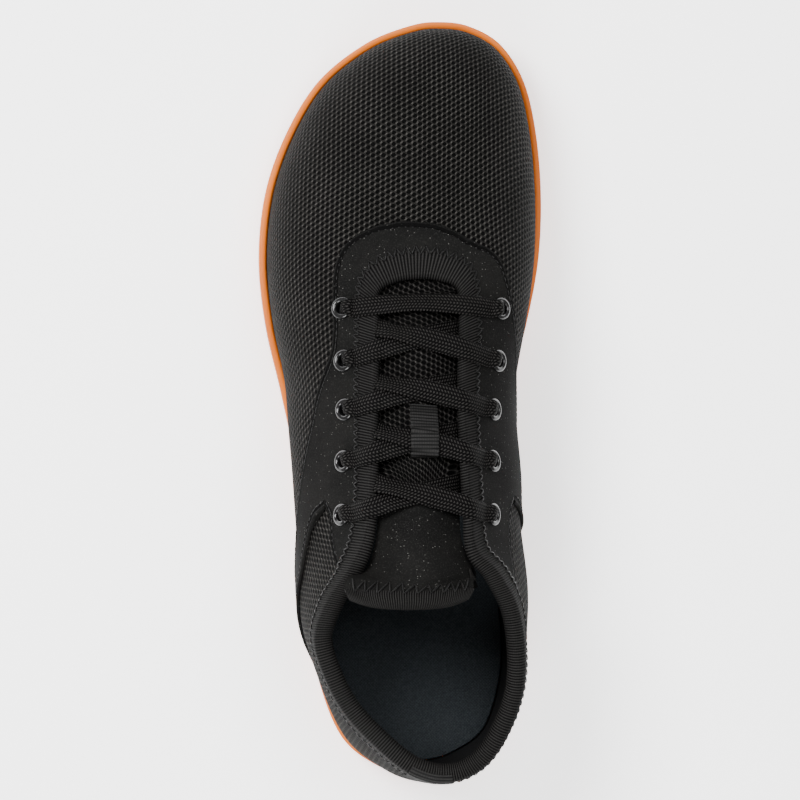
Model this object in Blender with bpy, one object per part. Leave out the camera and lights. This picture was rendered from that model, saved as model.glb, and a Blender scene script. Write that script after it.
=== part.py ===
"""Low barefoot shoe for the left foot: a cupped rubber outsole, a knitted upper and its laces.

Metres, +Z up, +Y towards the toe and +X towards the inner (medial) side of the foot.
The origin is on the floor, below the middle of the sole's length.
Around is a share of the sole's edge: 0 at the heel, 0.25 medial, 0.5 at the toe, 0.75 lateral.
"""

import math

import bmesh
import bpy
import numpy as np
from mathutils import Vector
from mathutils.bvhtree import BVHTree

# Driving sizes of the last
LENGTH = 0.276
BALL_WIDTH = 0.104
INSTEP_HEIGHT = 0.086
HEEL_HEIGHT = 0.076
TOE_SPRING = 0.008
HEEL_RAMP = 0.004

# Outsole, a cup with a tread
SOLE_BASE = 0.0045
CUP_HEIGHT = 0.0120
TOE_GUARD = 0.0020
RIM_THICKNESS = 0.0028
LUG_HEIGHT = 0.0012
CHANNEL_WIDTH = 0.0013
TREAD_BORDER = 0.0055
ROW_TILT = math.radians(-3.7)

# Upper and what goes inside it
UPPER_WALL = 0.0020
COLLAR_PADDING = 0.0025
INSOLE_THICKNESS = 0.0040
TONGUE_THICKNESS = 0.0035
TONGUE_CROWN = 0.0045
TONGUE_RISE = 0.0100
TONGUE_SPARE = 0.0020
TONGUE_GAP = 0.00075
GAP = 0.0003

# Eyelets, laces and webbing
FLANGE_RADIUS = 0.0040
FLANGE_THICKNESS = 0.0007
BARREL_RADIUS = 0.0026
BORE_RADIUS = 0.0021
CLINCH_RADIUS = 0.0031
LACE_WIDTH = 0.0068
LACE_THICKNESS = 0.0016
EMERGES = 1.15  # lace widths behind its eyelet row where a lace comes up beside the tongue
BESIDE_TONGUE = 0.0040  # from the throat's edge to where a lace comes up
KEEPER_WIDTH = 0.0098
KEEPER_LENGTH = 0.0175
ROLL = 0.0004  # rounding of an eyelet's rolled edges
WEBBING = 0.0010
TAB_WIDTH = 0.014

# The toe end rises from this share of the length on, and the heel end from the other
TOE_BREAK = 0.31
HEEL_BREAK = -0.38

ACROSS = np.linspace(-1, 1, 7)
SEGMENTS_AROUND = 72
RIB_STEPS = 8
EYELET_SIDES = 12
TOE_CUTS = 6
HEEL_CUTS = 4

# Outline of the sole: share of the length from the heel, then shares of the ball width
# across to the medial and to the lateral edge
OUTLINE = (
    (0.012, 0.206, -0.072),
    (0.053, 0.346, -0.210),
    (0.140, 0.412, -0.297),
    (0.240, 0.401, -0.336),
    (0.330, 0.369, -0.344),
    (0.420, 0.359, -0.373),
    (0.510, 0.385, -0.422),
    (0.600, 0.449, -0.477),
    (0.690, 0.493, -0.500),
    (0.780, 0.501, -0.474),
    (0.860, 0.481, -0.396),
    (0.925, 0.435, -0.285),
    (0.972, 0.349, -0.125),
    (0.995, 0.236, 0.029),
)
HEEL_APEX = 0.062
TOE_APEX = 0.130

# Section of the cup: inset as a share of the rim, height as a share of the cup
CUP_SECTION = (
    (1.50, 0.00),
    (0.55, 0.04),
    (0.12, 0.20),
    (0.00, 0.50),
    (0.05, 0.92),
    (0.30, 1.00),
    (0.75, 1.00),
    (1.00, 0.94),
)

# Edge of the opening: around, across (share of the ball width), along (share of the length,
# from the middle), height as shares of the instep and heel heights, and the padding there
OPENING = (
    (0.000, 0.087, -0.476, 0.00, 1.000, 1.0),
    (0.035, 0.197, -0.470, 0.00, 0.985, 1.0),
    (0.070, 0.290, -0.441, 0.00, 0.940, 1.0),
    (0.095, 0.360, -0.390, 0.00, 0.890, 1.0),
    (0.125, 0.383, -0.333, 0.00, 0.880, 1.0),
    (0.145, 0.357, -0.266, 0.43, 0.475, 1.0),
    (0.165, 0.284, -0.217, 0.94, 0.000, 0.7),
    (0.185, 0.209, -0.187, 0.99, 0.000, 0.2),
    (0.205, 0.194, -0.138, 0.97, 0.000, 0.0),
    (0.235, 0.186, -0.054, 0.893, 0.00, 0.0),
    (0.270, 0.182, 0.015, 0.830, 0.00, 0.0),
    (0.305, 0.188, 0.087, 0.762, 0.00, 0.0),
    (0.360, 0.181, 0.144, 0.702, 0.00, 0.0),
    (0.430, 0.115, 0.159, 0.681, 0.00, 0.0),
    (0.500, 0.039, 0.162, 0.674, 0.00, 0.0),
    (0.565, -0.048, 0.157, 0.679, 0.00, 0.0),
    (0.635, -0.114, 0.138, 0.700, 0.00, 0.0),
    (0.695, -0.118, 0.087, 0.760, 0.00, 0.0),
    (0.730, -0.127, 0.011, 0.832, 0.00, 0.0),
    (0.765, -0.133, -0.054, 0.890, 0.00, 0.0),
    (0.800, -0.140, -0.127, 0.960, 0.00, 0.0),
    (0.822, -0.159, -0.174, 0.985, 0.00, 0.2),
    (0.843, -0.207, -0.212, 0.955, 0.00, 0.7),
    (0.863, -0.274, -0.254, 0.43, 0.480, 1.0),
    (0.885, -0.310, -0.301, 0.00, 0.862, 1.0),
    (0.910, -0.275, -0.350, 0.00, 0.842, 1.0),
    (0.940, -0.207, -0.396, 0.00, 0.888, 1.0),
    (0.970, -0.096, -0.439, 0.00, 0.950, 1.0),
    (0.985, -0.005, -0.465, 0.00, 0.982, 1.0),
)

# Ribs of the last between the sole and the opening: around, then for the low handle how far
# it swells out (share of the ball width) and rises (share of the instep height), and for the
# high handle how far it lies towards the sole's edge, swells out and drops
RIBS = (
    (0.000, 0.038, 0.35, 0.30, 0.020, 0.24),
    (0.070, 0.038, 0.33, 0.30, 0.020, 0.22),
    (0.125, 0.075, 0.32, 0.30, 0.035, 0.20),
    (0.165, 0.125, 0.36, 0.35, 0.090, 0.33),
    (0.205, 0.150, 0.38, 0.40, 0.100, 0.27),
    (0.245, 0.090, 0.36, 0.50, 0.060, 0.18),
    (0.300, 0.040, 0.32, 0.60, 0.030, 0.12),
    (0.360, 0.010, 0.30, 0.58, 0.000, 0.09),
    (0.430, 0.010, 0.30, 0.54, 0.000, 0.08),
    (0.500, 0.020, 0.35, 0.53, 0.000, 0.08),
    (0.565, 0.020, 0.33, 0.54, 0.000, 0.08),
    (0.635, 0.010, 0.30, 0.56, 0.000, 0.09),
    (0.690, 0.020, 0.32, 0.60, 0.020, 0.11),
    (0.740, 0.050, 0.34, 0.55, 0.040, 0.16),
    (0.780, 0.120, 0.36, 0.45, 0.070, 0.22),
    (0.820, 0.140, 0.38, 0.40, 0.100, 0.30),
    (0.860, 0.115, 0.34, 0.35, 0.070, 0.26),
    (0.900, 0.065, 0.32, 0.30, 0.035, 0.20),
    (0.950, 0.040, 0.33, 0.30, 0.020, 0.22),
)

# Eyelet rows, front to back: along (share of the length), across to the lateral and to the
# medial eyelet (shares of the ball width)
EYELETS = (
    (0.117, -0.224, 0.319),
    (0.050, -0.219, 0.306),
    (-0.012, -0.217, 0.288),
    (-0.077, -0.223, 0.281),
    (-0.144, -0.230, 0.278),
)

# Front of the lace keeper: across (share of the ball width) and along (share of the length)
KEEPER_PLACE = (0.043, -0.007)

# Tongue in the throat: shares around at its medial and lateral edge, front and back
TONGUE_FRONT = (0.375, 0.622)
TONGUE_BACK = (0.173, 0.840)
TONGUE_UNDER_VAMP = (0.60, 0.40)
VAMP_SHARE = 0.92
HIDDEN_SHARE = 0.94
# Free top of the tongue: across, half width (shares of the ball width), along (share of the
# length), middle height and how far its edges hang lower (shares of the instep height)
TONGUE_TOP = (
    (-0.008, 0.198, -0.237, 1.112, 0.100),
    (-0.014, 0.190, -0.263, 1.155, 0.070),
)

# Tread rows: share of the length at the front edge of the first row, row pitch, rows
TREAD = (
    (0.4275, 0.0368, 8),
    (0.1331, 0.0290, 11),
    (-0.1859, 0.0350, 6),
)
# Front and back edge of the tread: across (share of the ball width), along (share of length)
TOE_EDGE = ((-0.40, 0.356), (-0.28, 0.355), (-0.18, 0.362), (-0.06, 0.385), (0.04, 0.408),
            (0.16, 0.429), (0.30, 0.438), (0.42, 0.430))
HEEL_EDGE = ((-0.16, -0.461), (-0.11, -0.436), (-0.02, -0.406), (0.10, -0.393),
             (0.23, -0.381), (0.38, -0.364))
# Smooth panel under the arch: across, along
ARCH_PANEL = ((-0.035, 0.076), (-0.057, 0.058), (-0.079, 0.023), (-0.079, -0.007),
              (-0.065, -0.046), (-0.043, -0.082), (0.004, -0.124), (0.062, -0.154),
              (0.107, -0.123), (0.083, -0.082), (0.083, -0.052), (0.096, -0.027),
              (0.120, -0.003), (0.048, 0.035))
PANEL_MARGIN = (1.12, 1.04)  # the grooves keep clear of the panel by this much


def material(name, colour, roughness, metallic=0.0):
    made = bpy.data.materials.new(name)
    made.use_nodes = True
    shader = made.node_tree.nodes["Principled BSDF"]
    shader.inputs["Base Color"].default_value = (*colour, 1.0)
    shader.inputs["Roughness"].default_value = roughness
    shader.inputs["Metallic"].default_value = metallic
    return made


def new_object(name, bm, group, finish=None):
    """A named object from a bmesh, in a collection."""
    mesh = bpy.data.meshes.new(name)
    bm.to_mesh(mesh)
    bm.free()
    made = bpy.data.objects.new(name, mesh)
    group.objects.link(made)
    if finish:
        mesh.materials.append(finish)
        mesh.shade_smooth()
        mesh.set_sharp_from_angle(angle=math.radians(40))
    else:
        made.hide_render = True
        made.display_type = "WIRE"
    return made


def apply_boolean(target, cutter, operation):
    """Joins or cuts with the exact solver and keeps the result as the object's mesh."""
    modifier = target.modifiers.new(operation.lower(), "BOOLEAN")
    modifier.operation = operation
    modifier.solver = "EXACT"
    modifier.object = cutter
    graph = bpy.context.evaluated_depsgraph_get()
    result = bpy.data.meshes.new_from_object(target.evaluated_get(graph))
    target.modifiers.clear()
    target.data = result


def loft(rings, closed_across, closed_along, caps=False):
    """Faces between successive rings of points, as a bmesh whose faces point out."""
    bm = bmesh.new()
    rows = [[bm.verts.new(point) for point in ring] for ring in rings]
    count = len(rows[0])
    pairs = zip(rows, rows[1:] + rows[:1]) if closed_along else zip(rows, rows[1:])
    for low, high in pairs:
        for i in range(count if closed_across else count - 1):
            after = (i + 1) % count
            bm.faces.new((low[i], low[after], high[after], high[i]))
    if caps:
        bm.faces.new(list(reversed(rows[0])))
        bm.faces.new(rows[-1])
    bmesh.ops.recalc_face_normals(bm, faces=bm.faces)
    return bm


def from_table(rows, around):
    """A smooth row between the rows of a table that closes on itself at around 1."""
    table = np.array(rows)
    keys = np.concatenate([table[-2:, 0] - 1, table[:, 0], table[:2, 0] + 1])
    values = np.concatenate([table[-2:], table, table[:2]])[:, 1:]
    slopes = (values[2:] - values[:-2]) / (keys[2:] - keys[:-2])[:, None]
    keys, values = keys[1:-1], values[1:-1]
    at = around % 1.0
    k = int(np.clip(np.searchsorted(keys, at, side="right") - 1, 0, len(keys) - 2))
    span = keys[k + 1] - keys[k]
    t = (at - keys[k]) / span
    return (values[k] * (2 * t**3 - 3 * t**2 + 1) + slopes[k] * span * (t**3 - 2 * t**2 + t)
            + values[k + 1] * (3 * t**2 - 2 * t**3) + slopes[k + 1] * span * (t**3 - t**2))


def edge_line():
    """The sole's outline as many points, with the share around of each."""
    medial = [(m * BALL_WIDTH, (t - 0.5) * LENGTH) for t, m, _ in OUTLINE]
    lateral = [(l * BALL_WIDTH, (t - 0.5) * LENGTH) for t, _, l in reversed(OUTLINE)]
    heel = [(HEEL_APEX * BALL_WIDTH, -LENGTH / 2)]
    toe = [(TOE_APEX * BALL_WIDTH, LENGTH / 2)]
    corners = np.array(heel + medial + toe + lateral)
    points = []
    for i in range(len(corners)):
        a, b, c, d = (corners[(i + k) % len(corners)] for k in (-1, 0, 1, 2))
        for t in np.arange(0, 1, 0.05):
            points.append(0.5 * (2 * b + (c - a) * t + (2 * a - 5 * b + 4 * c - d) * t**2
                                 + (3 * b - a - 3 * c + d) * t**3))
    points = np.array(points + points[:1])
    along = np.concatenate([[0], np.cumsum(np.linalg.norm(np.diff(points, axis=0), axis=1))])
    return along / along[-1], points


EDGE_SHARE, EDGE_POINTS = edge_line()


def plan_point(around, inset=0.0):
    """A point of the outline moved in by the inset, and the outward direction there."""
    step = 0.004
    def at(share):
        return np.array([np.interp(share % 1.0, EDGE_SHARE, EDGE_POINTS[:, k]) for k in (0, 1)])
    ahead = at(around + step) - at(around - step)
    out = np.array([ahead[1], -ahead[0]]) / np.linalg.norm(ahead)
    return at(around) - out * inset, out


def toe_share(y):
    return max(0.0, (y / LENGTH - TOE_BREAK) / (0.5 - TOE_BREAK))


def lift(y):
    """How far the sole has left the floor at a place along the foot."""
    heel = max(0.0, (HEEL_BREAK - y / LENGTH) / (0.5 + HEEL_BREAK))
    return TOE_SPRING * toe_share(y)**2 + HEEL_RAMP * heel**2


def cup_height(y):
    return CUP_HEIGHT + TOE_GUARD * toe_share(y)


def shares_around(count=SEGMENTS_AROUND):
    return np.arange(count) / count


def rib(around):
    """Outer face of the upper at one place around: from the cup's floor to the opening."""
    foot, out = plan_point(around, RIM_THICKNESS + GAP)
    across, along, of_instep, of_heel, _ = from_table(OPENING, around)
    swell, rise, near, flare, drop = from_table(RIBS, around)
    base = lift(foot[1])
    top = np.array([across * BALL_WIDTH, along * LENGTH,
                    of_instep * INSTEP_HEIGHT + of_heel * HEEL_HEIGHT])
    low = np.array([*foot, SOLE_BASE + GAP + base])
    brim = np.array([*foot, cup_height(foot[1]) + GAP + base])
    first = np.array([*(foot + out * swell * BALL_WIDTH), brim[2] + rise * INSTEP_HEIGHT])
    plan = top[:2] + (foot - top[:2]) * near + out * flare * BALL_WIDTH
    second = np.array([*plan, top[2] - drop * INSTEP_HEIGHT])
    points = [low]
    for t in np.linspace(0, 1, RIB_STEPS + 1):
        points.append(brim * (1 - t)**3 + first * 3 * t * (1 - t)**2
                      + second * 3 * t**2 * (1 - t) + top * t**3)
    return np.array(points)


def smooth_step(value):
    t = min(1.0, max(0.0, value))
    return t * t * (3 - 2 * t)


def wall_at(around, row):
    """Thickness of the upper: thin below, and padded towards the collar."""
    padding = float(np.clip(from_table(OPENING, around)[-1], 0, 1))
    height = (row - 1) / RIB_STEPS
    return UPPER_WALL + COLLAR_PADDING * padding * smooth_step((height - 0.55) / 0.35)


def skin(around):
    """Outer points, outward directions and wall thicknesses of one rib."""
    step = 0.5 / SEGMENTS_AROUND
    points = rib(around)
    ahead = rib(around + step) - rib(around - step)
    up = np.gradient(points, axis=0)
    out = np.cross(ahead, up)
    out /= np.linalg.norm(out, axis=1)[:, None]
    walls = np.array([wall_at(around, row) for row in range(len(points))])
    return points, out, walls


def wall_loop(around, lift_off=0.0):
    """The closed section of the upper's wall, or a line at a distance from it."""
    points, out, walls = skin(around)
    inner = points - out * walls[:, None]
    up = points[-1] - points[-2]
    up /= np.linalg.norm(up)
    crest = (points[-1] + inner[-1]) / 2 + up * (walls[-1] * 0.35 + lift_off)
    return [*(points + out * lift_off), crest, *(inner - out * lift_off)[::-1]]


def bend(bm):
    """Cuts a flat form across at the two raised ends and raises it to the last's bottom."""
    stations = [TOE_BREAK + (0.5 - TOE_BREAK) * k / TOE_CUTS for k in range(TOE_CUTS)]
    stations += [HEEL_BREAK - (0.5 + HEEL_BREAK) * k / HEEL_CUTS for k in range(HEEL_CUTS)]
    for share in stations:
        bmesh.ops.bisect_plane(bm, geom=bm.verts[:] + bm.edges[:] + bm.faces[:], dist=1e-6,
                               plane_co=(0, share * LENGTH, 0), plane_no=(0, 1, 0))
    for vert in bm.verts:
        vert.co.z += lift(vert.co.y)


def prism(outline, low, high):
    """An upright closed form over a flat outline."""
    rings = [[(x, y, z) for x, y in outline] for z in (low, high)]
    return loft(rings, True, False, caps=True)


def tread_channels(cutters):
    """Grooves between the tread rows, clear of the border, the toe, the heel and the panel."""
    bm = bmesh.new()
    for front, pitch, rows in TREAD:
        for row in range(rows + 1):
            groove = bmesh.ops.create_cube(bm, size=1.0)["verts"]
            bmesh.ops.scale(bm, vec=(BALL_WIDTH * 1.3, CHANNEL_WIDTH, 2 * LUG_HEIGHT),
                            verts=groove)
            for vert in groove:
                vert.co.y += vert.co.x * math.tan(-ROW_TILT) + (front - row * pitch) * LENGTH
            if row == rows and front != TREAD[-1][0]:
                bmesh.ops.delete(bm, geom=groove, context="VERTS")
    grooves = new_object("tread_grooves", bm, cutters)
    field = []
    for around in shares_around():
        x, y = plan_point(around, TREAD_BORDER)[0]
        front = np.interp(x / BALL_WIDTH, *zip(*TOE_EDGE)) * LENGTH
        back = np.interp(x / BALL_WIDTH, *zip(*HEEL_EDGE)) * LENGTH
        field.append((x, min(front, max(back, y))))
    area = new_object("tread_area", prism(field, -LUG_HEIGHT * 3, LUG_HEIGHT * 3), cutters)
    panel = [(x * BALL_WIDTH * PANEL_MARGIN[0], y * LENGTH * PANEL_MARGIN[1])
             for x, y in ARCH_PANEL]
    island = new_object("arch_island", prism(panel, -LUG_HEIGHT * 4, LUG_HEIGHT * 4), cutters)
    apply_boolean(grooves, area, "INTERSECT")
    apply_boolean(grooves, island, "DIFFERENCE")
    return grooves


def make_outsole(parts, cutters, rubber):
    """The rubber cup: tread, rounded side wall, rim and the floor inside."""
    rings = []
    for inset, height in CUP_SECTION:
        ring = []
        for around in shares_around():
            x, y = plan_point(around, inset * RIM_THICKNESS)[0]
            ring.append((x, y, height * cup_height(y)))
        rings.append(ring)
    rings.append([(x, y, SOLE_BASE) for x, y, _ in rings[-1]])
    outsole = new_object("outsole", loft(rings, True, False, caps=True), parts, rubber)
    apply_boolean(outsole, tread_channels(cutters), "DIFFERENCE")
    bm = bmesh.new()
    bm.from_mesh(outsole.data)
    bend(bm)
    bmesh.ops.triangulate(bm, faces=bm.faces)
    bm.to_mesh(outsole.data)
    bm.free()
    return outsole


def make_insole(parts, fabric):
    """A flat footbed inside the upper, with its top edge eased."""
    inset = RIM_THICKNESS + UPPER_WALL + 3 * GAP
    low = SOLE_BASE + GAP
    ease = INSOLE_THICKNESS / 4
    heights = ((inset, low), (inset, low + INSOLE_THICKNESS - ease),
               (inset + ease, low + INSOLE_THICKNESS))
    rings = [[(*plan_point(around, depth)[0], z) for around in shares_around()]
             for depth, z in heights]
    bm = loft(rings, True, False, caps=True)
    bend(bm)
    return new_object("insole", bm, parts, fabric)


def make_upper(parts, fabric):
    """The hollow upper: one wall, open at collar and throat and underneath."""
    sections = [wall_loop(around) for around in shares_around()]
    return new_object("upper", loft(sections, True, True), parts, fabric)


def across_curve(points, count=11):
    """A smooth line of some points through a few given ones."""
    p = np.array(points)
    p = np.concatenate([[2 * p[0] - p[1]], p, [2 * p[-1] - p[-2]]])
    line = []
    for at in np.linspace(0, len(points) - 1, count):
        k = min(int(at), len(points) - 2)
        a, b, c, d = p[k:k + 4]
        t = at - k
        line.append(0.5 * (2 * b + (c - a) * t + (2 * a - 5 * b + 4 * c - d) * t**2
                           + (3 * b - a - 3 * c + d) * t**3))
    return np.array(line)


def under_wall(around, share, spare=0.0):
    """A point just inside the upper's wall, at a share of the rib's height."""
    points, out, walls = skin(around)
    inside = points - out * (walls[:, None] + TONGUE_GAP + spare)
    row = 1 + share * RIB_STEPS
    k = min(int(row), len(points) - 2)
    return inside[k] + (inside[k + 1] - inside[k]) * (row - k)


def tongue_rows():
    """Top lines of the tongue, from under the vamp to its free top edge."""
    vamp = np.linspace(*TONGUE_UNDER_VAMP, 5)
    rows = [across_curve([under_wall(around, VAMP_SHARE) for around in vamp]) - (0, 0, 2 * GAP)]
    steps = 11
    for k in range(steps):
        q = k / (steps - 1)
        medial = TONGUE_FRONT[0] + (TONGUE_BACK[0] - TONGUE_FRONT[0]) * q
        lateral = TONGUE_FRONT[1] + (TONGUE_BACK[1] - TONGUE_FRONT[1]) * q
        spare = TONGUE_SPARE * smooth_step((q - 0.55) / 0.3)
        left, right = (under_wall(edge, 1.0, spare) for edge in (lateral, medial))
        rise = TONGUE_CROWN * smooth_step(q * 3) - 5 * GAP * (1 - smooth_step(q * 6))
        rise += TONGUE_RISE * max(0.0, (q - 0.6) / 0.4)**3
        crown = (left + right) / 2 + np.array([0, 0, rise])
        rows.append(across_curve([under_wall(lateral, HIDDEN_SHARE, spare), left, crown,
                                  right, under_wall(medial, HIDDEN_SHARE, spare)]))
    for across, half, along, height, hang in TONGUE_TOP:
        line = []
        for u in np.linspace(-1, 1, 11):
            line.append(((across + half * u) * BALL_WIDTH, along * LENGTH,
                         (height - hang * u * u) * INSTEP_HEIGHT))
        rows.append(np.array(line))
    return np.array(rows)


def sheet_solid(top, thickness):
    """A closed solid under a grid of points, with an even thickness."""
    ahead = np.gradient(top, axis=0)
    aside = np.gradient(top, axis=1)
    out = np.cross(aside, ahead)
    out /= np.linalg.norm(out, axis=2)[:, :, None]
    out *= np.sign(out[:, :, 2])[:, :, None]
    bottom = top - out * thickness
    rings = [np.concatenate([high, low[::-1]]) for high, low in zip(top, bottom)]
    return loft(rings, True, False, caps=True)


def make_tongue(parts, fabric):
    return new_object("tongue", sheet_solid(tongue_rows(), TONGUE_THICKNESS), parts, fabric)


def surface_of(objects):
    """A tree of all faces of some objects, to find what lies highest at a place."""
    points, faces = [], []
    for item in objects:
        start = len(points)
        points += [item.matrix_world @ vert.co for vert in item.data.vertices]
        faces += [[start + i for i in face.vertices] for face in item.data.polygons]
    return BVHTree.FromPolygons(points, faces)


def drop_on(tree, x, y):
    """The highest point of the surface at a place, and its direction."""
    point, normal, _, _ = tree.ray_cast(Vector((x, y, 1.0)), Vector((0, 0, -1)))
    return point, normal


def eyelet_mesh():
    """A turned metal eyelet, its axis on Z and its flange just above the origin."""
    low = -(UPPER_WALL + 2 * GAP)
    profile = (
        (BORE_RADIUS, GAP + FLANGE_THICKNESS * 0.6),
        (BORE_RADIUS + ROLL, GAP + FLANGE_THICKNESS),
        (FLANGE_RADIUS - ROLL, GAP + FLANGE_THICKNESS * 0.9),
        (FLANGE_RADIUS, GAP + FLANGE_THICKNESS * 0.4),
        (FLANGE_RADIUS - ROLL, GAP),
        (BARREL_RADIUS, GAP),
        (BARREL_RADIUS, low),
        (CLINCH_RADIUS, low - ROLL / 2),
        (CLINCH_RADIUS - ROLL, low - ROLL * 1.5),
        (BORE_RADIUS, low - ROLL),
    )
    rings = []
    for k in range(EYELET_SIDES):
        turn = 2 * math.pi * k / EYELET_SIDES
        rings.append([(r * math.cos(turn), r * math.sin(turn), z) for r, z in profile])
    return loft(rings, True, True)


def make_eyelets(parts, cutters, metal, upper):
    """Ten eyelets seated on the upper, and the holes that they go through."""
    tree = surface_of([upper])
    eyelets = []
    holes = bmesh.new()
    for row, (along, lateral, medial) in enumerate(EYELETS, start=1):
        for side, across in (("lateral", lateral), ("medial", medial)):
            place, normal = drop_on(tree, across * BALL_WIDTH, along * LENGTH)
            turn = Vector((0, 0, 1)).rotation_difference(normal).to_matrix().to_4x4()
            made = new_object(f"eyelet_{side}_{row}", eyelet_mesh(), parts, metal)
            made.matrix_world = turn
            made.location = place
            eyelets.append(made)
            drill = bmesh.ops.create_cone(holes, cap_ends=True, segments=EYELET_SIDES,
                                          radius1=BARREL_RADIUS + GAP,
                                          radius2=BARREL_RADIUS + GAP,
                                          depth=6 * UPPER_WALL)["verts"]
            bmesh.ops.transform(holes, matrix=turn, verts=drill)
            bmesh.ops.translate(holes, vec=place, verts=drill)
    apply_boolean(upper, new_object("eyelet_holes", holes, cutters), "DIFFERENCE")
    bpy.context.view_layer.update()
    return eyelets


def ground_under(tree, middle, side, width):
    """Heights of what lies below a strip at one place, at a few places across it."""
    hits = [drop_on(tree, *(middle + side * u * (width / 2 + GAP)))[0] for u in ACROSS]
    highest = max(hit.z for hit in hits if hit)
    return np.array([hit.z if hit else highest for hit in hits])


def strip(tree, start, end, width, thickness, hump=0.0, stations=13):
    """A flat woven strip laid over what is below a line, touching nothing."""
    start, end = np.array(start), np.array(end)
    side = np.array([start[1] - end[1], end[0] - start[0]]) / np.linalg.norm(end - start)
    fine = 5
    marks = np.arange((stations - 1) * fine + 1) / fine
    ground = np.array([ground_under(tree, start + (end - start) * at / (stations - 1),
                                    side, width) for at in marks])
    bank = (ground[::fine, -1] - ground[::fine, 0]) / 2
    banks = np.interp(marks, np.arange(stations), bank)
    need = (ground - banks[:, None] * ACROSS).max(axis=1)
    heights = need[::fine].copy()
    for _ in range(12):
        for at, low in zip(marks, need):
            k = min(int(at), stations - 2)
            t = at - k
            short = low - heights[k] * (1 - t) - heights[k + 1] * t
            if short > 0:
                heights[k:k + 2] += short * np.array([1 - t, t]) / (t * t + (1 - t)**2)
    rings = []
    for k in range(stations):
        middle = start + (end - start) * k / (stations - 1)
        level = heights[k] + 2 * GAP + thickness / 2
        level += hump * math.sin(math.pi * k / (stations - 1))**2
        ring = []
        for u, v in ((-1, -0.4), (-0.8, -1), (0.8, -1), (1, -0.4),
                     (1, 0.4), (0.8, 1), (-0.8, 1), (-1, 0.4)):
            plan = middle + side * u * width / 2
            ring.append((*plan, level + bank[k] * u + v * thickness / 2))
        rings.append(ring)
    return loft(rings, True, False, caps=True)


def throat_edge(medial, row):
    """Plan place just inside the throat's edge, a little behind an eyelet row."""
    along = EYELETS[row][0] - EMERGES * LACE_WIDTH / LENGTH
    start, end = (0.19, 0.36) if medial else (0.81, 0.64)
    best = min(np.linspace(start, end, 60),
               key=lambda around: abs(from_table(OPENING, around)[1] - along))
    inward = -BESIDE_TONGUE if medial else BESIDE_TONGUE
    return np.array([from_table(OPENING, best)[0] * BALL_WIDTH + inward, along * LENGTH])


def make_laces(parts, cutters, cord, tree):
    """A bar over the first eyelets and four crossings, each one joined solid."""
    places = [[np.array([across * BALL_WIDTH, along * LENGTH]) for across in (left, right)]
              for along, left, right in EYELETS]
    made = [new_object("lace_bar_1", strip(tree, *places[0], LACE_WIDTH, LACE_THICKNESS),
                       parts, cord)]
    for row in range(1, len(EYELETS)):
        tree = surface_of(made + BELOW_LACES)
        low = strip(tree, throat_edge(True, row - 1), places[row][0],
                    LACE_WIDTH, LACE_THICKNESS)
        high = strip(tree, throat_edge(False, row - 1), places[row][1],
                     LACE_WIDTH, LACE_THICKNESS, hump=LACE_THICKNESS / 2)
        crossing = new_object(f"lace_crossing_{row + 1}", low, parts, cord)
        apply_boolean(crossing, new_object(f"lace_over_{row + 1}", high, cutters), "UNION")
        made.append(crossing)
    return made


def make_keeper(parts, webbing, tree):
    """A webbing band over the middle of the fourth crossing, seated on the tongue."""
    across = KEEPER_PLACE[0] * BALL_WIDTH
    front = KEEPER_PLACE[1] * LENGTH
    bm = strip(tree, (across, front), (across, front - KEEPER_LENGTH),
               KEEPER_WIDTH, WEBBING, stations=9)
    return new_object("lace_keeper", bm, parts, webbing)


def make_heel_tab(parts, webbing):
    """Webbing folded over the back of the collar, following the upper's own wall."""
    beside = [wall_loop(k / SEGMENTS_AROUND)[RIB_STEPS + 1][0] for k in (-1, 1)]
    reach = TAB_WIDTH / abs(beside[1] - beside[0])
    rings = []
    for at in (-reach, -1, 0, 1, reach):
        k = min(math.floor(at), math.ceil(reach) - 1)
        loops = []
        for lift_off in (GAP, GAP + WEBBING):
            first = np.array(wall_loop(k / SEGMENTS_AROUND, lift_off))
            second = np.array(wall_loop((k + 1) / SEGMENTS_AROUND, lift_off))
            loops.append(first + (second - first) * (at - k))
        middle = len(loops[0]) // 2
        near, far = (loop[middle - 3:middle + 4] for loop in loops)
        rings.append([*far, *near[::-1]])
    return new_object("heel_tab", loft(rings, True, False, caps=True), parts, webbing)


for old in list(bpy.data.objects):
    bpy.data.objects.remove(old)
shoe = bpy.data.collections.new("barefoot_shoe")
tools = bpy.data.collections.new("cutters")
tools.hide_render = True
bpy.context.scene.collection.children.link(shoe)
bpy.context.scene.collection.children.link(tools)

gum_rubber = material("gum_rubber", (0.80, 0.27, 0.07), 0.45)
knit = material("knit", (0.020, 0.019, 0.018), 0.85)
footbed = material("footbed", (0.035, 0.042, 0.052), 0.90)
tongue_cloth = material("tongue_cloth", (0.018, 0.018, 0.018), 0.80)
braid = material("braid", (0.016, 0.016, 0.016), 0.80)
black_metal = material("black_metal", (0.02, 0.02, 0.02), 0.25, 0.8)
grosgrain = material("grosgrain", (0.014, 0.014, 0.015), 0.60)

sole = make_outsole(shoe, tools, gum_rubber)
make_insole(shoe, footbed)
upper = make_upper(shoe, knit)
tongue = make_tongue(shoe, tongue_cloth)
eyelets = make_eyelets(shoe, tools, black_metal, upper)
BELOW_LACES = [upper, tongue, *eyelets]
laces = make_laces(shoe, tools, braid, surface_of(BELOW_LACES))
make_keeper(shoe, grosgrain, surface_of(laces + BELOW_LACES))
make_heel_tab(shoe, grosgrain)
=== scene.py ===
# %% [markdown]
# # A barefoot shoe, from its last outwards
# A shoe is made on a last, the solid foot form that gives it its shape.
# Every piece here is laid on that last: knit, overlay, binding, tongue and sole.
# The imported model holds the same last, so each piece lands where its plain solid is.

import math

import bpy
import numpy as np
from mathutils import Matrix, Vector
from mathutils.bvhtree import BVHTree
from mathutils.kdtree import KDTree


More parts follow.
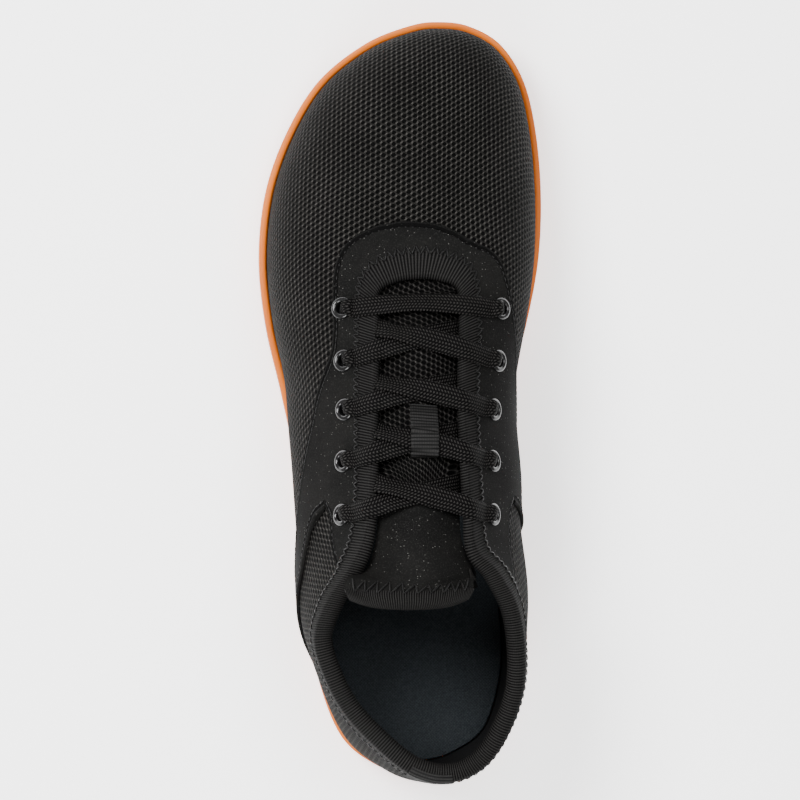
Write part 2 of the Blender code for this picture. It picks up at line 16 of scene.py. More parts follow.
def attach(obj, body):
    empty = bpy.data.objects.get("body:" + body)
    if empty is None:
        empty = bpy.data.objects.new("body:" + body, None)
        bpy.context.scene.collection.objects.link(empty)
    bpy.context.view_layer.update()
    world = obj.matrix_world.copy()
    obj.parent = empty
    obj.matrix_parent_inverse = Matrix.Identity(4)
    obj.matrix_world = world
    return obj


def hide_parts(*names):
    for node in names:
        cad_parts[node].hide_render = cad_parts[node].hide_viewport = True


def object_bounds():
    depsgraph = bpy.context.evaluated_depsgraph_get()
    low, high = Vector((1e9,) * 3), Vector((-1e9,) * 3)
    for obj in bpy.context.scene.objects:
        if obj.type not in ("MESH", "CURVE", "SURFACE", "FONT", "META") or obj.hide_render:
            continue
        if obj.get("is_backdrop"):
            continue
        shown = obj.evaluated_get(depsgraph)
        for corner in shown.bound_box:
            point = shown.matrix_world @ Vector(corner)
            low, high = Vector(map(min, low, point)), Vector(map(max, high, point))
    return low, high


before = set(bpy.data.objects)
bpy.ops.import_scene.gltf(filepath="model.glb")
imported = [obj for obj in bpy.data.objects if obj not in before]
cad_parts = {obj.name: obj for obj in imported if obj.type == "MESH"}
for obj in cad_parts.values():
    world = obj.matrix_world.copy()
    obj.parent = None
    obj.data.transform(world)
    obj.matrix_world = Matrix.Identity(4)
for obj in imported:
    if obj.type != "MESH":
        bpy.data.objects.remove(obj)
cad_box = [list(corner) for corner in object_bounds()]
MM = 0.001

# %% [markdown]
# ## The camera
# The shoe is seen from above, toe up, by a camera that stands a little to its outer side.
# A long lens from 1.1 m keeps the outline true, and the picture's up is the shoe's length.

# %% Camera above the shoe
EYE = Vector((-0.063, 0.0, 1.110))
AIM = Vector((0.0, 0.0, 0.010))
SENSOR = 36.0
SEEN_WIDTH = 0.2944


def make_camera():
    back = (EYE - AIM).normalized()
    right = Vector((0, 1, 0)).cross(back).normalized()
    up = back.cross(right)
    data = bpy.data.cameras.new("camera")
    data.sensor_width = SENSOR
    data.lens = SENSOR * (EYE - AIM).length / SEEN_WIDTH
    camera = bpy.data.objects.new("camera", data)
    bpy.context.scene.collection.objects.link(camera)
    camera.matrix_world = Matrix((right, up, back)).transposed().to_4x4()
    camera.location = EYE
    bpy.context.scene.camera = camera
    return camera


print("lens", round(make_camera().data.lens, 1), "mm")

# %% [markdown]
# ## Floor and light
# A pale floor runs past the picture's edges. Three large soft lamps and a bright room
# light black cloth well, because only broad light shows its weave. The floor glows a little,
# as a lit studio table does, so that it stays near white round a dark shoe.

# %% Floor and soft lamps
# Name, place, width in metres and watts of each lamp
LAMPS = (
    ("key", (-0.65, 0.45, 1.10), 0.6, 35.0),
    ("fill", (0.35, 0.35, 1.50), 1.0, 22.0),
    ("back", (-0.35, -0.95, 1.00), 0.7, 18.0),
)
FLOOR_GLOW = 0.9
ROOM_LIGHT = 0.75


def clear_selection():
    bpy.ops.object.select_all(action="DESELECT")


def make_floor():
    clear_selection()
    bpy.ops.mesh.primitive_plane_add(size=8.0, location=(0, 0, 0))
    floor = bpy.context.object
    floor.name = "floor"
    paint = bpy.data.materials.new("pale_floor")
    paint.use_nodes = True
    shader = paint.node_tree.nodes["Principled BSDF"]
    shader.inputs["Base Color"].default_value = (0.97, 0.97, 0.97, 1)
    shader.inputs["Roughness"].default_value = 0.8
    shader.inputs["Emission Color"].default_value = (1, 1, 1, 1)
    shader.inputs["Emission Strength"].default_value = FLOOR_GLOW
    floor.data.materials.append(paint)
    floor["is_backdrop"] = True


def make_lamps():
    for name, place, size, watts in LAMPS:
        data = bpy.data.lights.new(name, "AREA")
        data.shape = "DISK"
        data.size = size
        data.energy = watts
        lamp = bpy.data.objects.new(name, data)
        lamp.location = place
        lamp.rotation_euler = (-Vector(place)).to_track_quat("-Z", "Y").to_euler()
        bpy.context.scene.collection.objects.link(lamp)
    world = bpy.data.worlds.new("room")
    bpy.context.scene.world = world
    world.use_nodes = True
    sky = world.node_tree.nodes["Background"]
    sky.inputs["Color"].default_value = (1, 1, 1, 1)
    sky.inputs["Strength"].default_value = ROOM_LIGHT


make_floor()
make_lamps()

# %% [markdown]
# ## The last
# The last is worked out from a few driving sizes and short tables, as the model's is.
# "Around" is a share of the sole's edge: 0 at the heel, 0.25 inner side, 0.5 toe, 0.75 outer.
# "Height" runs along a rib of the last, from 0 at the sole's rim to 1 at the opening.

# %% Sizes and tables of the last
LENGTH = 0.276
BALL_WIDTH = 0.104
INSTEP_HEIGHT = 0.086
HEEL_HEIGHT = 0.076
TOE_SPRING = 0.008
HEEL_RAMP = 0.004
SOLE_BASE = 0.0045
CUP_HEIGHT = 0.0120
TOE_GUARD = 0.0020
RIM_THICKNESS = 0.0028
UPPER_WALL = 0.0020
COLLAR_PADDING = 0.0025
INSOLE_THICKNESS = 0.0040
GAP = 0.0003
TOE_BREAK = 0.31
HEEL_BREAK = -0.38

# Sole outline: share of the length from the heel, medial and lateral share of the ball width
OUTLINE = (
    (0.012, 0.206, -0.072), (0.053, 0.346, -0.210), (0.140, 0.412, -0.297),
    (0.240, 0.401, -0.336), (0.330, 0.369, -0.344), (0.420, 0.359, -0.373),
    (0.510, 0.385, -0.422), (0.600, 0.449, -0.477), (0.690, 0.493, -0.500),
    (0.780, 0.501, -0.474), (0.860, 0.481, -0.396), (0.925, 0.435, -0.285),
    (0.972, 0.349, -0.125), (0.995, 0.236, 0.029),
)
HEEL_APEX = 0.062
TOE_APEX = 0.130

# Opening: around, across, along, share of the instep height, of the heel height, padding
OPENING = (
    (0.000, 0.087, -0.476, 0.00, 1.000, 1.0), (0.035, 0.197, -0.470, 0.00, 0.985, 1.0),
    (0.070, 0.290, -0.441, 0.00, 0.940, 1.0), (0.095, 0.360, -0.390, 0.00, 0.890, 1.0),
    (0.125, 0.383, -0.333, 0.00, 0.880, 1.0), (0.145, 0.357, -0.266, 0.43, 0.475, 1.0),
    (0.165, 0.284, -0.217, 0.94, 0.000, 0.7), (0.185, 0.209, -0.187, 0.99, 0.000, 0.2),
    (0.205, 0.194, -0.138, 0.97, 0.000, 0.0), (0.235, 0.186, -0.054, 0.893, 0.00, 0.0),
    (0.270, 0.182, 0.015, 0.830, 0.00, 0.0), (0.305, 0.188, 0.087, 0.762, 0.00, 0.0),
    (0.360, 0.181, 0.144, 0.702, 0.00, 0.0), (0.430, 0.115, 0.159, 0.681, 0.00, 0.0),
    (0.500, 0.039, 0.162, 0.674, 0.00, 0.0), (0.565, -0.048, 0.157, 0.679, 0.00, 0.0),
    (0.635, -0.114, 0.138, 0.700, 0.00, 0.0), (0.695, -0.118, 0.087, 0.760, 0.00, 0.0),
    (0.730, -0.127, 0.011, 0.832, 0.00, 0.0), (0.765, -0.133, -0.054, 0.890, 0.00, 0.0),
    (0.800, -0.140, -0.127, 0.960, 0.00, 0.0), (0.822, -0.159, -0.174, 0.985, 0.00, 0.2),
    (0.843, -0.207, -0.212, 0.955, 0.00, 0.7), (0.863, -0.274, -0.254, 0.43, 0.480, 1.0),
    (0.885, -0.310, -0.301, 0.00, 0.862, 1.0), (0.910, -0.275, -0.350, 0.00, 0.842, 1.0),
    (0.940, -0.207, -0.396, 0.00, 0.888, 1.0), (0.970, -0.096, -0.439, 0.00, 0.950, 1.0),
    (0.985, -0.005, -0.465, 0.00, 0.982, 1.0),
)

# Ribs: around, low handle out and up, high handle towards the edge, out and down
RIBS = (
    (0.000, 0.038, 0.35, 0.30, 0.020, 0.24), (0.070, 0.038, 0.33, 0.30, 0.020, 0.22),
    (0.125, 0.075, 0.32, 0.30, 0.035, 0.20), (0.165, 0.125, 0.36, 0.35, 0.090, 0.33),
    (0.205, 0.150, 0.38, 0.40, 0.100, 0.27), (0.245, 0.090, 0.36, 0.50, 0.060, 0.18),
    (0.300, 0.040, 0.32, 0.60, 0.030, 0.12), (0.360, 0.010, 0.30, 0.58, 0.000, 0.09),
    (0.430, 0.010, 0.30, 0.54, 0.000, 0.08), (0.500, 0.020, 0.35, 0.53, 0.000, 0.08),
    (0.565, 0.020, 0.33, 0.54, 0.000, 0.08), (0.635, 0.010, 0.30, 0.56, 0.000, 0.09),
    (0.690, 0.020, 0.32, 0.60, 0.020, 0.11), (0.740, 0.050, 0.34, 0.55, 0.040, 0.16),
    (0.780, 0.120, 0.36, 0.45, 0.070, 0.22), (0.820, 0.140, 0.38, 0.40, 0.100, 0.30),
    (0.860, 0.115, 0.34, 0.35, 0.070, 0.26), (0.900, 0.065, 0.32, 0.30, 0.035, 0.20),
    (0.950, 0.040, 0.33, 0.30, 0.020, 0.22),
)

# Creases pressed into the upper: along, across (mm), turn (degrees), half length, half width
# and depth (mm). A negative depth is a ridge.
CREASES = (
    (78, 20, -28, 26, 5.0, 0.55), (86, -14, 18, 20, 5.0, 0.45), (70, 31, -40, 16, 4.0, -0.30),
    (18, 44, 78, 20, 5.0, 0.40), (12, -42, 100, 22, 5.0, 0.40), (-92, 34, 60, 16, 5.0, 0.50),
    (-96, -28, 118, 16, 5.0, 0.50), (-112, 12, 5, 20, 5.0, 0.35),
)

# %% [markdown]
# The tables are joined by smooth curves. NumPy works on whole rows of places at once,
# which keeps thousands of points quick.

# %% Curves through tables
def unit(vectors):
    return vectors / np.linalg.norm(vectors, axis=-1, keepdims=True)


def smooth_step(value):
    """An eased rise from 0 to 1."""
    t = np.clip(value, 0.0, 1.0)
    return t * t * (3 - 2 * t)


def run_along(points):
    """How far each point of a line lies from its start."""
    steps = np.linalg.norm(np.diff(points, axis=0), axis=1)
    return np.concatenate([[0], np.cumsum(steps)])


def paired(first, second):
    """Two coordinates for every point of a grid, given by row and by column."""
    return np.stack(np.broadcast_arrays(first, second), axis=-1)


def hermite(keys, values, slopes, at):
    """Smooth values between keyed ones, each key with its own slope."""
    k = np.clip(np.searchsorted(keys, at, side="right") - 1, 0, len(keys) - 2)
    span = (keys[k + 1] - keys[k])[..., None]
    t = (at - keys[k])[..., None] / span
    return (values[k] * (2 * t**3 - 3 * t**2 + 1) + slopes[k] * span * (t**3 - 2 * t**2 + t)
            + values[k + 1] * (3 * t**2 - 2 * t**3) + slopes[k + 1] * span * (t**3 - t**2))


def ring_table(table, around):
    """Rows between those of a table that closes on itself at around 1."""
    table = np.array(table)
    keys = np.concatenate([table[-2:, 0] - 1, table[:, 0], table[:2, 0] + 1])
    values = np.concatenate([table[-2:], table, table[:2]])[:, 1:]
    slopes = (values[2:] - values[:-2]) / (keys[2:] - keys[:-2])[:, None]
    return hermite(keys[1:-1], values[1:-1], slopes, np.mod(around, 1.0))


def line_table(table, at):
    """Rows between those of an open table."""
    table = np.array(table, float)
    keys, values = table[:, 0], table[:, 1:]
    return hermite(keys, values, np.gradient(values, keys, axis=0), np.asarray(at, float))


def through_points(points, steps):
    """A smooth closed line through corner points, as many points."""
    b = np.array(points, float)[:, None]
    a, c, d = (np.roll(b, -k, axis=0) for k in (-1, 1, 2))
    t = np.arange(0, 1, 1 / steps)[None, :, None]
    line = 0.5 * (2 * b + (c - a) * t + (2 * a - 5 * b + 4 * c - d) * t**2
                  + (3 * b - a - 3 * c + d) * t**3)
    return line.reshape(-1, line.shape[-1])


# %% [markdown]
# The sole's outline runs through the points of its table, inner side first and outer side
# back. A place "around" is a share of that line's length, so places keep an even spacing.

# %% The sole's outline
def edge_line():
    """The sole's outline, with the share around of each point."""
    medial = [(m * BALL_WIDTH, (t - 0.5) * LENGTH) for t, m, _ in OUTLINE]
    lateral = [(l * BALL_WIDTH, (t - 0.5) * LENGTH) for t, _, l in reversed(OUTLINE)]
    heel = [(HEEL_APEX * BALL_WIDTH, -LENGTH / 2)]
    toe = [(TOE_APEX * BALL_WIDTH, LENGTH / 2)]
    points = through_points(heel + medial + toe + lateral, 20)
    points = np.concatenate([points, points[:1]])
    return run_along(points), points


EDGE_RUN, EDGE_POINTS = edge_line()
EDGE_SHARE = EDGE_RUN / EDGE_RUN[-1]
print("sole outline", round(EDGE_RUN[-1] / MM), "mm round")


def on_edge(around):
    at = np.mod(around, 1.0)
    return np.stack([np.interp(at, EDGE_SHARE, EDGE_POINTS[:, k]) for k in (0, 1)], axis=-1)


def plan_point(around, inset=0.0):
    """Points of the outline moved in by the inset, and the outward directions there."""
    ahead = on_edge(around + 0.004) - on_edge(around - 0.004)
    out = unit(np.stack([ahead[..., 1], -ahead[..., 0]], axis=-1))
    return on_edge(around) - out * np.asarray(inset)[..., None], out


def toe_share(y):
    return np.maximum(0.0, (y / LENGTH - TOE_BREAK) / (0.5 - TOE_BREAK))


def lift(y):
    """How far the sole has left the floor at a place along the foot."""
    heel = np.maximum(0.0, (HEEL_BREAK - y / LENGTH) / (0.5 + HEEL_BREAK))
    return TOE_SPRING * toe_share(y)**2 + HEEL_RAMP * heel**2


def cup_height(y):
    return CUP_HEIGHT + TOE_GUARD * toe_share(y)


# %% [markdown]
# Each rib of the last is one curve with two handles, from the sole's rim to the opening.
# Creases are soft troughs pressed into that surface. A piece that lies on the last asks for
# its skin: points at places around and up, moved out along the surface's own direction.

# %% The surface of the last
def ribs_of_last(around, height):
    """Points of the plain last, before its creases."""
    around, height = np.broadcast_arrays(around, height)
    foot, out = plan_point(around, RIM_THICKNESS + GAP)
    across, along, instep, heel, _ = np.moveaxis(ring_table(OPENING, around), -1, 0)
    swell, rise, near, flare, drop = np.moveaxis(ring_table(RIBS, around), -1, 0)
    level = cup_height(foot[..., 1]) + GAP + lift(foot[..., 1])
    top = np.stack([across * BALL_WIDTH, along * LENGTH,
                    instep * INSTEP_HEIGHT + heel * HEEL_HEIGHT], axis=-1)
    brim = np.concatenate([foot, level[..., None]], axis=-1)
    low = np.concatenate([foot + out * (swell * BALL_WIDTH)[..., None],
                          (level + rise * INSTEP_HEIGHT)[..., None]], axis=-1)
    plan = (top[..., :2] + (foot - top[..., :2]) * near[..., None]
            + out * (flare * BALL_WIDTH)[..., None])
    high = np.concatenate([plan, (top[..., 2] - drop * INSTEP_HEIGHT)[..., None]], axis=-1)
    t = np.maximum(height, 0.0)[..., None]
    points = (brim * (1 - t)**3 + low * 3 * t * (1 - t)**2
              + high * 3 * t**2 * (1 - t) + top * t**3)
    points[..., 2] += np.minimum(height, 0.0) * CUP_HEIGHT
    return points


def crease_depth(points, height):
    """How far the creases press the upper in at some points."""
    depth = np.zeros(points.shape[:-1])
    fade = smooth_step(height / 0.12) * smooth_step((1 - height) / 0.10)
    for along, across, turn, half_length, half_width, deep in CREASES:
        c, s = math.cos(math.radians(turn)), math.sin(math.radians(turn))
        dx = points[..., 0] / MM - across
        dy = points[..., 1] / MM - along
        lengthwise, sideways = dx * c + dy * s, dy * c - dx * s
        bow = sideways + 0.012 * lengthwise**2
        depth += deep * MM * np.exp(-(lengthwise / half_length)**2 - (bow / half_width)**2)
    return depth * fade


def skin(around, height, out=0.0):
    """Points on the last at places around and up, moved outwards, and the directions out."""
    around, height = np.broadcast_arrays(around, height)
    ahead = ribs_of_last(around + 0.004, height) - ribs_of_last(around - 0.004, height)
    up = ribs_of_last(around, height + 0.02) - ribs_of_last(around, height - 0.02)
    normal = unit(np.cross(ahead, up))
    points = ribs_of_last(around, height)
    out = np.asarray(out) - crease_depth(points, height)
    return points + normal * out[..., None], normal


def padding_at(around):
    return np.clip(ring_table(OPENING, around)[..., -1], 0, 1)


def wall_at(around, height):
    """Thickness of the upper: thin below, padded towards the collar."""
    return UPPER_WALL + COLLAR_PADDING * padding_at(around) * smooth_step((height - 0.55) / 0.35)


def rib_length(around, count=33):
    """Length of each rib from the rim to the opening."""
    heights = np.linspace(0, 1, count)
    points = ribs_of_last(np.asarray(around)[..., None], heights)
    return np.linalg.norm(np.diff(points, axis=-2), axis=-1).sum(axis=-1)


RIB_PLACES = np.linspace(0, 1, 721)
RIB_LENGTHS = rib_length(RIB_PLACES)


def length_at(around):
    return np.interp(np.mod(around, 1.0), RIB_PLACES, RIB_LENGTHS)


print("ribs", round(RIB_LENGTHS.min() / MM, 1), "to", round(RIB_LENGTHS.max() / MM, 1), "mm")

# %% [markdown]
# ## Helpers that every piece uses
# A cut sheet starts as a primitive grid, and its vertices are moulded onto the last.
# Its UV map is the flat pattern in metres, so a weave keeps its real size on any piece.

# %% Moulding and edit mode
def select_only(piece):
    clear_selection()
    piece.select_set(True)
    bpy.context.view_layer.objects.active = piece


def edit(piece, *steps):
    """Runs edit-mode steps on everything of a piece."""
    select_only(piece)
    bpy.ops.object.mode_set(mode="EDIT")
    bpy.ops.mesh.select_all(action="SELECT")
    for step in steps:
        step()
    bpy.ops.object.mode_set(mode="OBJECT")


def weld(distance=2e-6):
    return lambda: bpy.ops.mesh.remove_doubles(threshold=distance)


def face_out():
    bpy.ops.mesh.normals_make_consistent(inside=False)


def close_ends():
    """Fills the open ends of a tube."""
    bpy.ops.mesh.select_all(action="DESELECT")
    bpy.ops.mesh.select_non_manifold(extend=False)
    bpy.ops.mesh.edge_face_add()
    bpy.ops.mesh.select_all(action="SELECT")


def mould(name, points, flat=None, other=None, chosen=None):
    """A primitive grid moulded to rows of points, with its flat pattern as the UV map.

    Faces whose points are mostly chosen take the other pattern."""
    rows, columns = points.shape[:2]
    clear_selection()
    bpy.ops.mesh.primitive_grid_add(x_subdivisions=columns - 1, y_subdivisions=rows - 1)
    piece = bpy.context.object
    piece.name = piece.data.name = name
    piece.data.vertices.foreach_set("co", points.astype(np.float32).ravel())
    if flat is not None:
        corners = np.empty(len(piece.data.loops), np.int32)
        piece.data.loops.foreach_get("vertex_index", corners)
        pattern = flat.reshape(-1, 2)[corners].astype(np.float32)
        if other is not None:
            takes = np.repeat(chosen.ravel()[corners].reshape(-1, 4).mean(axis=1) > 0.5, 4)
            pattern[takes] = other.reshape(-1, 2)[corners][takes]
        piece.data.uv_layers.active.data.foreach_set("uv", pattern.ravel())
    piece.data.update()
    edit(piece, weld())
    return piece


def tube(name, rings, flat=None):
    """A closed skin through rings whose last point meets the first."""
    piece = mould(name, rings, flat)
    edit(piece, close_ends, face_out)
    return piece


# %% [markdown]
# Modifiers give thickness and cut holes, and are applied at once. Small things that repeat
# are modelled once and copied into one mesh. Each finished piece gets its material and its
# smooth shading, and the plain solids that it stands for are hidden.

# %% Modifiers, copies and finishing
def modify(piece, kind, **settings):
    """Adds a modifier, sets it and applies it."""
    select_only(piece)
    modifier = piece.modifiers.new(kind.title(), kind)
    for setting, value in settings.items():
        setattr(modifier, setting, value)
    bpy.ops.object.modifier_apply(modifier=modifier.name)


def thicken(piece, thickness):
    """Gives a sheet its thickness on the inner side."""
    modify(piece, "SOLIDIFY", thickness=thickness, offset=-1.0, use_even_offset=False)


def mark(piece, name, values):
    """Stores a number at each vertex, for the material to read."""
    layer = piece.data.attributes.new(name, "FLOAT", "POINT")
    layer.data.foreach_set("value", np.asarray(values, np.float32))


def vertices_of(piece):
    co = np.empty(len(piece.data.vertices) * 3, np.float32)
    piece.data.vertices.foreach_get("co", co)
    return co.reshape(-1, 3).astype(float)


def move_vertices(piece, co):
    piece.data.vertices.foreach_set("co", co.astype(np.float32).ravel())
    piece.data.update()


def join(pieces, name):
    """Joins pieces into the first one and names it."""
    clear_selection()
    for piece in pieces:
        piece.select_set(True)
    bpy.context.view_layer.objects.active = pieces[0]
    bpy.ops.object.join()
    pieces[0].name = pieces[0].data.name = name
    return pieces[0]


def copies(name, model, places, axes):
    """One joined mesh of many copies of a model, each at a place with its own three axes."""
    co = vertices_of(model)
    sides = np.empty(len(model.data.loops), np.int32)
    model.data.loops.foreach_get("vertex_index", sides)
    sizes = np.empty(len(model.data.polygons), np.int32)
    model.data.polygons.foreach_get("loop_total", sizes)
    placed = places[:, None] + np.einsum("vk,nkc->nvc", co, axes)
    count = len(places)
    loops = (sides[None] + (np.arange(count) * len(co))[:, None]).ravel()
    faces = np.split(loops, np.cumsum(np.tile(sizes, count))[:-1])
    mesh = bpy.data.meshes.new(name)
    mesh.from_pydata(placed.reshape(-1, 3), [], [list(face) for face in faces])
    piece = bpy.data.objects.new(name, mesh)
    bpy.context.scene.collection.objects.link(piece)
    bpy.data.objects.remove(model)
    return piece


def fit(piece, finish, slot, *nodes, angle=40):
    """Gives a finished piece its material, smooth shading and body, and hides the plain parts that
    it stands for. The slot is not used.
    """
    piece.data.materials.clear()
    piece.data.materials.append(finish)
    select_only(piece)
    bpy.ops.object.shade_smooth_by_angle(angle=math.radians(angle))
    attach(piece, "root")
    if nodes:
        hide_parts(*nodes)
    triangles = sum(len(face.vertices) - 2 for face in piece.data.polygons)
    print(f"{piece.name}: {triangles} triangles, {[round(v / MM) for v in piece.dimensions]} mm")
    return piece


# %% [markdown]
# ## Materials
# A few short helpers add shader nodes and join them, so each finish reads as a recipe.
# Patterns are in millimetres of the cloth itself, taken from the UV map.

# %% Node helpers
class Recipe:
    """A material whose nodes are added one by one."""

    def __init__(self, name, colour, roughness, **settings):
        self.material = bpy.data.materials.new(name)
        self.material.use_nodes = True
        self.tree = self.material.node_tree
        self.shader = self.tree.nodes["Principled BSDF"]
        self.shader.inputs["Base Color"].default_value = (*colour, 1)
        self.shader.inputs["Roughness"].default_value = roughness
        for setting, value in settings.items():
            self.shader.inputs[setting.replace("_", " ")].default_value = value

    def node(self, kind, inputs=(), **settings):
        made = self.tree.nodes.new(kind)
        for setting, value in settings.items():
            setattr(made, setting, value)
        for key, value in dict(inputs).items():
            if isinstance(value, bpy.types.NodeSocket):
                self.tree.links.new(value, made.inputs[key])
            else:
                made.inputs[key].default_value = value
        return made

    def math(self, operation, *values):
        made = self.node("ShaderNodeMath", enumerate(values), operation=operation)
        return made.outputs[0]

    def vector(self, operation, *values):
        made = self.node("ShaderNodeVectorMath", enumerate(values), operation=operation)
        return made.outputs["Value" if operation in ("LENGTH", "DOT_PRODUCT") else "Vector"]

    def pattern(self):
        """The flat pattern in millimetres."""
        flat = self.node("ShaderNodeUVMap", uv_map="UVMap").outputs["UV"]
        return self.vector("MULTIPLY", flat, (1000, 1000, 1000))

    def place(self):
        """The place on the object in millimetres."""
        place = self.node("ShaderNodeTexCoord").outputs["Object"]
        return self.vector("MULTIPLY", place, (1000, 1000, 1000))

    def noise(self, at, scale, detail=2.0):
        made = self.node("ShaderNodeTexNoise", {"Vector": at, "Scale": scale, "Detail": detail})
        return made.outputs["Fac"]

    def attribute(self, name):
        return self.node("ShaderNodeAttribute", attribute_name=name).outputs["Fac"]

    def between(self, value, low, high, smooth=True):
        """The value as 0 below low and 1 above high."""
        made = self.node("ShaderNodeMapRange",
                         {"Value": value, "From Min": low, "From Max": high},
                         interpolation_type="SMOOTHSTEP" if smooth else "LINEAR")
        return made.outputs["Result"]

    def blend(self, share, first, second):
        """A colour between two, each a colour or another node's output."""
        made = self.node("ShaderNodeMix", {"Factor": share}, data_type="RGBA")
        for socket, value in ((made.inputs[6], first), (made.inputs[7], second)):
            if isinstance(value, bpy.types.NodeSocket):
                self.tree.links.new(value, socket)
            else:
                socket.default_value = (*value, 1)
        return made.outputs[2]

    def split(self, vector):
        """The three coordinates of a vector, or the three shares of a colour."""
        return tuple(self.node("ShaderNodeSeparateXYZ", {"Vector": vector}).outputs)

    def wave(self, kind, value, pitch):
        """A sine or cosine along a value, one wave to each pitch."""
        return self.math(kind, self.math("MULTIPLY", value, 2 * math.pi / pitch))

    def product(self, *values):
        total = values[0]
        for value in values[1:]:
            total = self.math("MULTIPLY", total, value)
        return total

    def weigh(self, *terms):
        """The sum of some values, each with its own weight."""
        parts = [self.math("MULTIPLY", value, weight) for value, weight in terms]
        total = parts[0]
        for part in parts[1:]:
            total = self.math("ADD", total, part)
        return total

    def rise(self, base, value, weight):
        """A base plus a weighted value."""
        return self.math("ADD", base, self.math("MULTIPLY", value, weight))

    def colour(self, socket):
        self.tree.links.new(socket, self.shader.inputs["Base Color"])

    def roughness(self, socket):
        self.tree.links.new(socket, self.shader.inputs["Roughness"])

    def bump(self, height, depth, strength=1.0):
        """Relief from a height of 0 to 1, as deep as given in millimetres."""
        made = self.node("ShaderNodeBump", {"Height": height, "Strength": strength,
                                            "Distance": depth * MM})
        self.tree.links.new(made.outputs["Normal"], self.shader.inputs["Normal"])


# %% [markdown]
# The upper is an air mesh: holes stand in two offset lattices, with yarn between them.
# The nearer of the two lattices gives the distance to a hole, and that distance draws
# the hole in painted shade, the yarn with a painted highlight on its crown and painted shade at its
# sides, and the relief. A slow noise shifts the lattice a little, because no knit stays square on a
# last.

# %% Knitted mesh
HOLE_SHADE = (0.0004, 0.0004, 0.0004)


def open_mesh(name, column, row, hole, yarn_colour):
    """Mesh with a given pitch across and along, and holes of a given radius, in mm."""
    mix = Recipe(name, yarn_colour, 0.7, Specular_IOR_Level=0.03)
    flat = mix.pattern()
    shake = mix.node("ShaderNodeTexNoise", {"Vector": flat, "Scale": 0.35, "Detail": 1.0})
    shake = mix.vector("SUBTRACT", shake.outputs["Color"], (0.5, 0.5, 0.5))
    shake = mix.vector("MULTIPLY", shake, (0.45, 0.45, 0.0))
    at = mix.vector("DIVIDE", mix.vector("ADD", flat, shake), (2 * column, row, 1))
    distances = []
    for offset in ((0, 0, 0), (0.5, 0.5, 0)):
        cell = mix.vector("FRACTION", mix.vector("ADD", at, offset))
        cell = mix.vector("SUBTRACT", cell, (0.5, 0.5, 0))
        cell = mix.vector("MULTIPLY", cell, (2 * column * 0.82, row, 0))
        distances.append(mix.vector("LENGTH", cell))
    distance = mix.math("MINIMUM", *distances)
    # Painted light: the holes take the painted hole shade, and the yarn is painted paler at its
    # crown and darker at its sides, as light falls on a round thread
    yarn = mix.between(distance, hole * 0.80, hole * 1.15)
    painted_crown_light = mix.between(distance, hole * 0.95, hole * 1.75)
    twist = mix.noise(mix.vector("MULTIPLY", flat, (1.0, 2.2, 1.0)), 2.6, 3.0)
    patch = mix.rise(0.8, mix.between(mix.noise(flat, 0.05, 2.0), 0.3, 0.7), 0.35)
    fibre = mix.rise(0.35, mix.between(twist, 0.35, 0.72), 0.9)
    across, down, _ = mix.split(at)
    slant = mix.wave("COSINE", mix.math("ADD", across, down), 1.0)
    bead = mix.rise(0.28, mix.between(slant, -0.4, 0.8), 1.1)
    light = mix.product(painted_crown_light, fibre, bead, patch)
    pale = tuple(share * 3.0 for share in yarn_colour)
    deep = tuple(share * 0.10 for share in yarn_colour)
    mix.colour(mix.blend(yarn, HOLE_SHADE, mix.blend(light, deep, pale)))
    mix.bump(mix.weigh((mix.between(distance, hole * 0.6, hole * 1.7), 0.8), (twist, 0.25)), 0.8)
    return mix.material


KNIT = open_mesh("air_mesh", 1.93, 2.05, 0.53, (0.0135, 0.0128, 0.0119))
TONGUE_KNIT = open_mesh("tongue_mesh", 1.9, 2.0, 0.58, (0.0125, 0.0118, 0.0111))

# %% [markdown]
# Microfibre is a matte nonwoven: nearly black, with a fine grain and a few pale fibre ends.
# Near its stitched edge it is pulled down into a furrow, and shade is painted into that furrow. The
# edge attribute, a distance in millimetres, places that furrow where the stitches will lie.

# %% Microfibre
STITCH_INSET = 1.7 * MM


def microfibre():
    mix = Recipe("microfibre", (0.010, 0.010, 0.010), 0.7, Specular_IOR_Level=0.02)
    at = mix.place()
    grain = mix.noise(at, 2.2, 4.0)
    cloud = mix.noise(at, 0.06, 3.0)
    specks = mix.node("ShaderNodeTexVoronoi", {"Vector": at, "Scale": 0.75})
    size = mix.split(specks.outputs["Color"])[0]
    speck = mix.product(mix.math("LESS_THAN", specks.outputs["Distance"], 0.13),
                        mix.math("GREATER_THAN", size, 0.45))
    colour = mix.blend(mix.between(cloud, 0.3, 0.7), (0.0034, 0.0034, 0.0033),
                       (0.0056, 0.0055, 0.0052))
    colour = mix.blend(mix.product(mix.between(grain, 0.50, 0.72), 0.7), colour,
                       (0.013, 0.0128, 0.0120))
    colour = mix.blend(mix.product(speck, 0.5), colour, (0.11, 0.107, 0.10))
    beside = mix.math("ABSOLUTE", mix.math("SUBTRACT", mix.attribute("edge"), STITCH_INSET / MM))
    furrow_and_shade = mix.math("SUBTRACT", 1.0, mix.between(beside, 0.25, 0.75))
    # Painted shade: the colour darkens to near black in the furrow beside the stitches
    mix.colour(mix.blend(mix.product(furrow_and_shade, 0.8), colour, (0.0006, 0.0006, 0.0006)))
    mix.bump(mix.weigh((grain, 0.3), (furrow_and_shade, -1.4)), 0.35)
    return mix.material


MICROFIBRE = microfibre()

# %% [markdown]
# Tape, lace and webbing are narrow goods, each with its own rhythm: the knitted tape has
# ribs across it, the flat braid has chevrons from its middle line, and the webbing has deep
# ribs across fine ends. Waves along and across the strip draw all three, as relief and as
# painted shade in the troughs between ribs and yarns, and a noise stands for the fuzz of the yarn.

# %% Bound knit, braid and webbing
RIB_PITCH = 1.0 * MM
WEBBING_RIB = 1.25 * MM
BRAID_YARN = 1.15
# Painted shade for the troughs between ribs and for the twist of the thread
SHADOW = (0.0008, 0.0008, 0.0008)


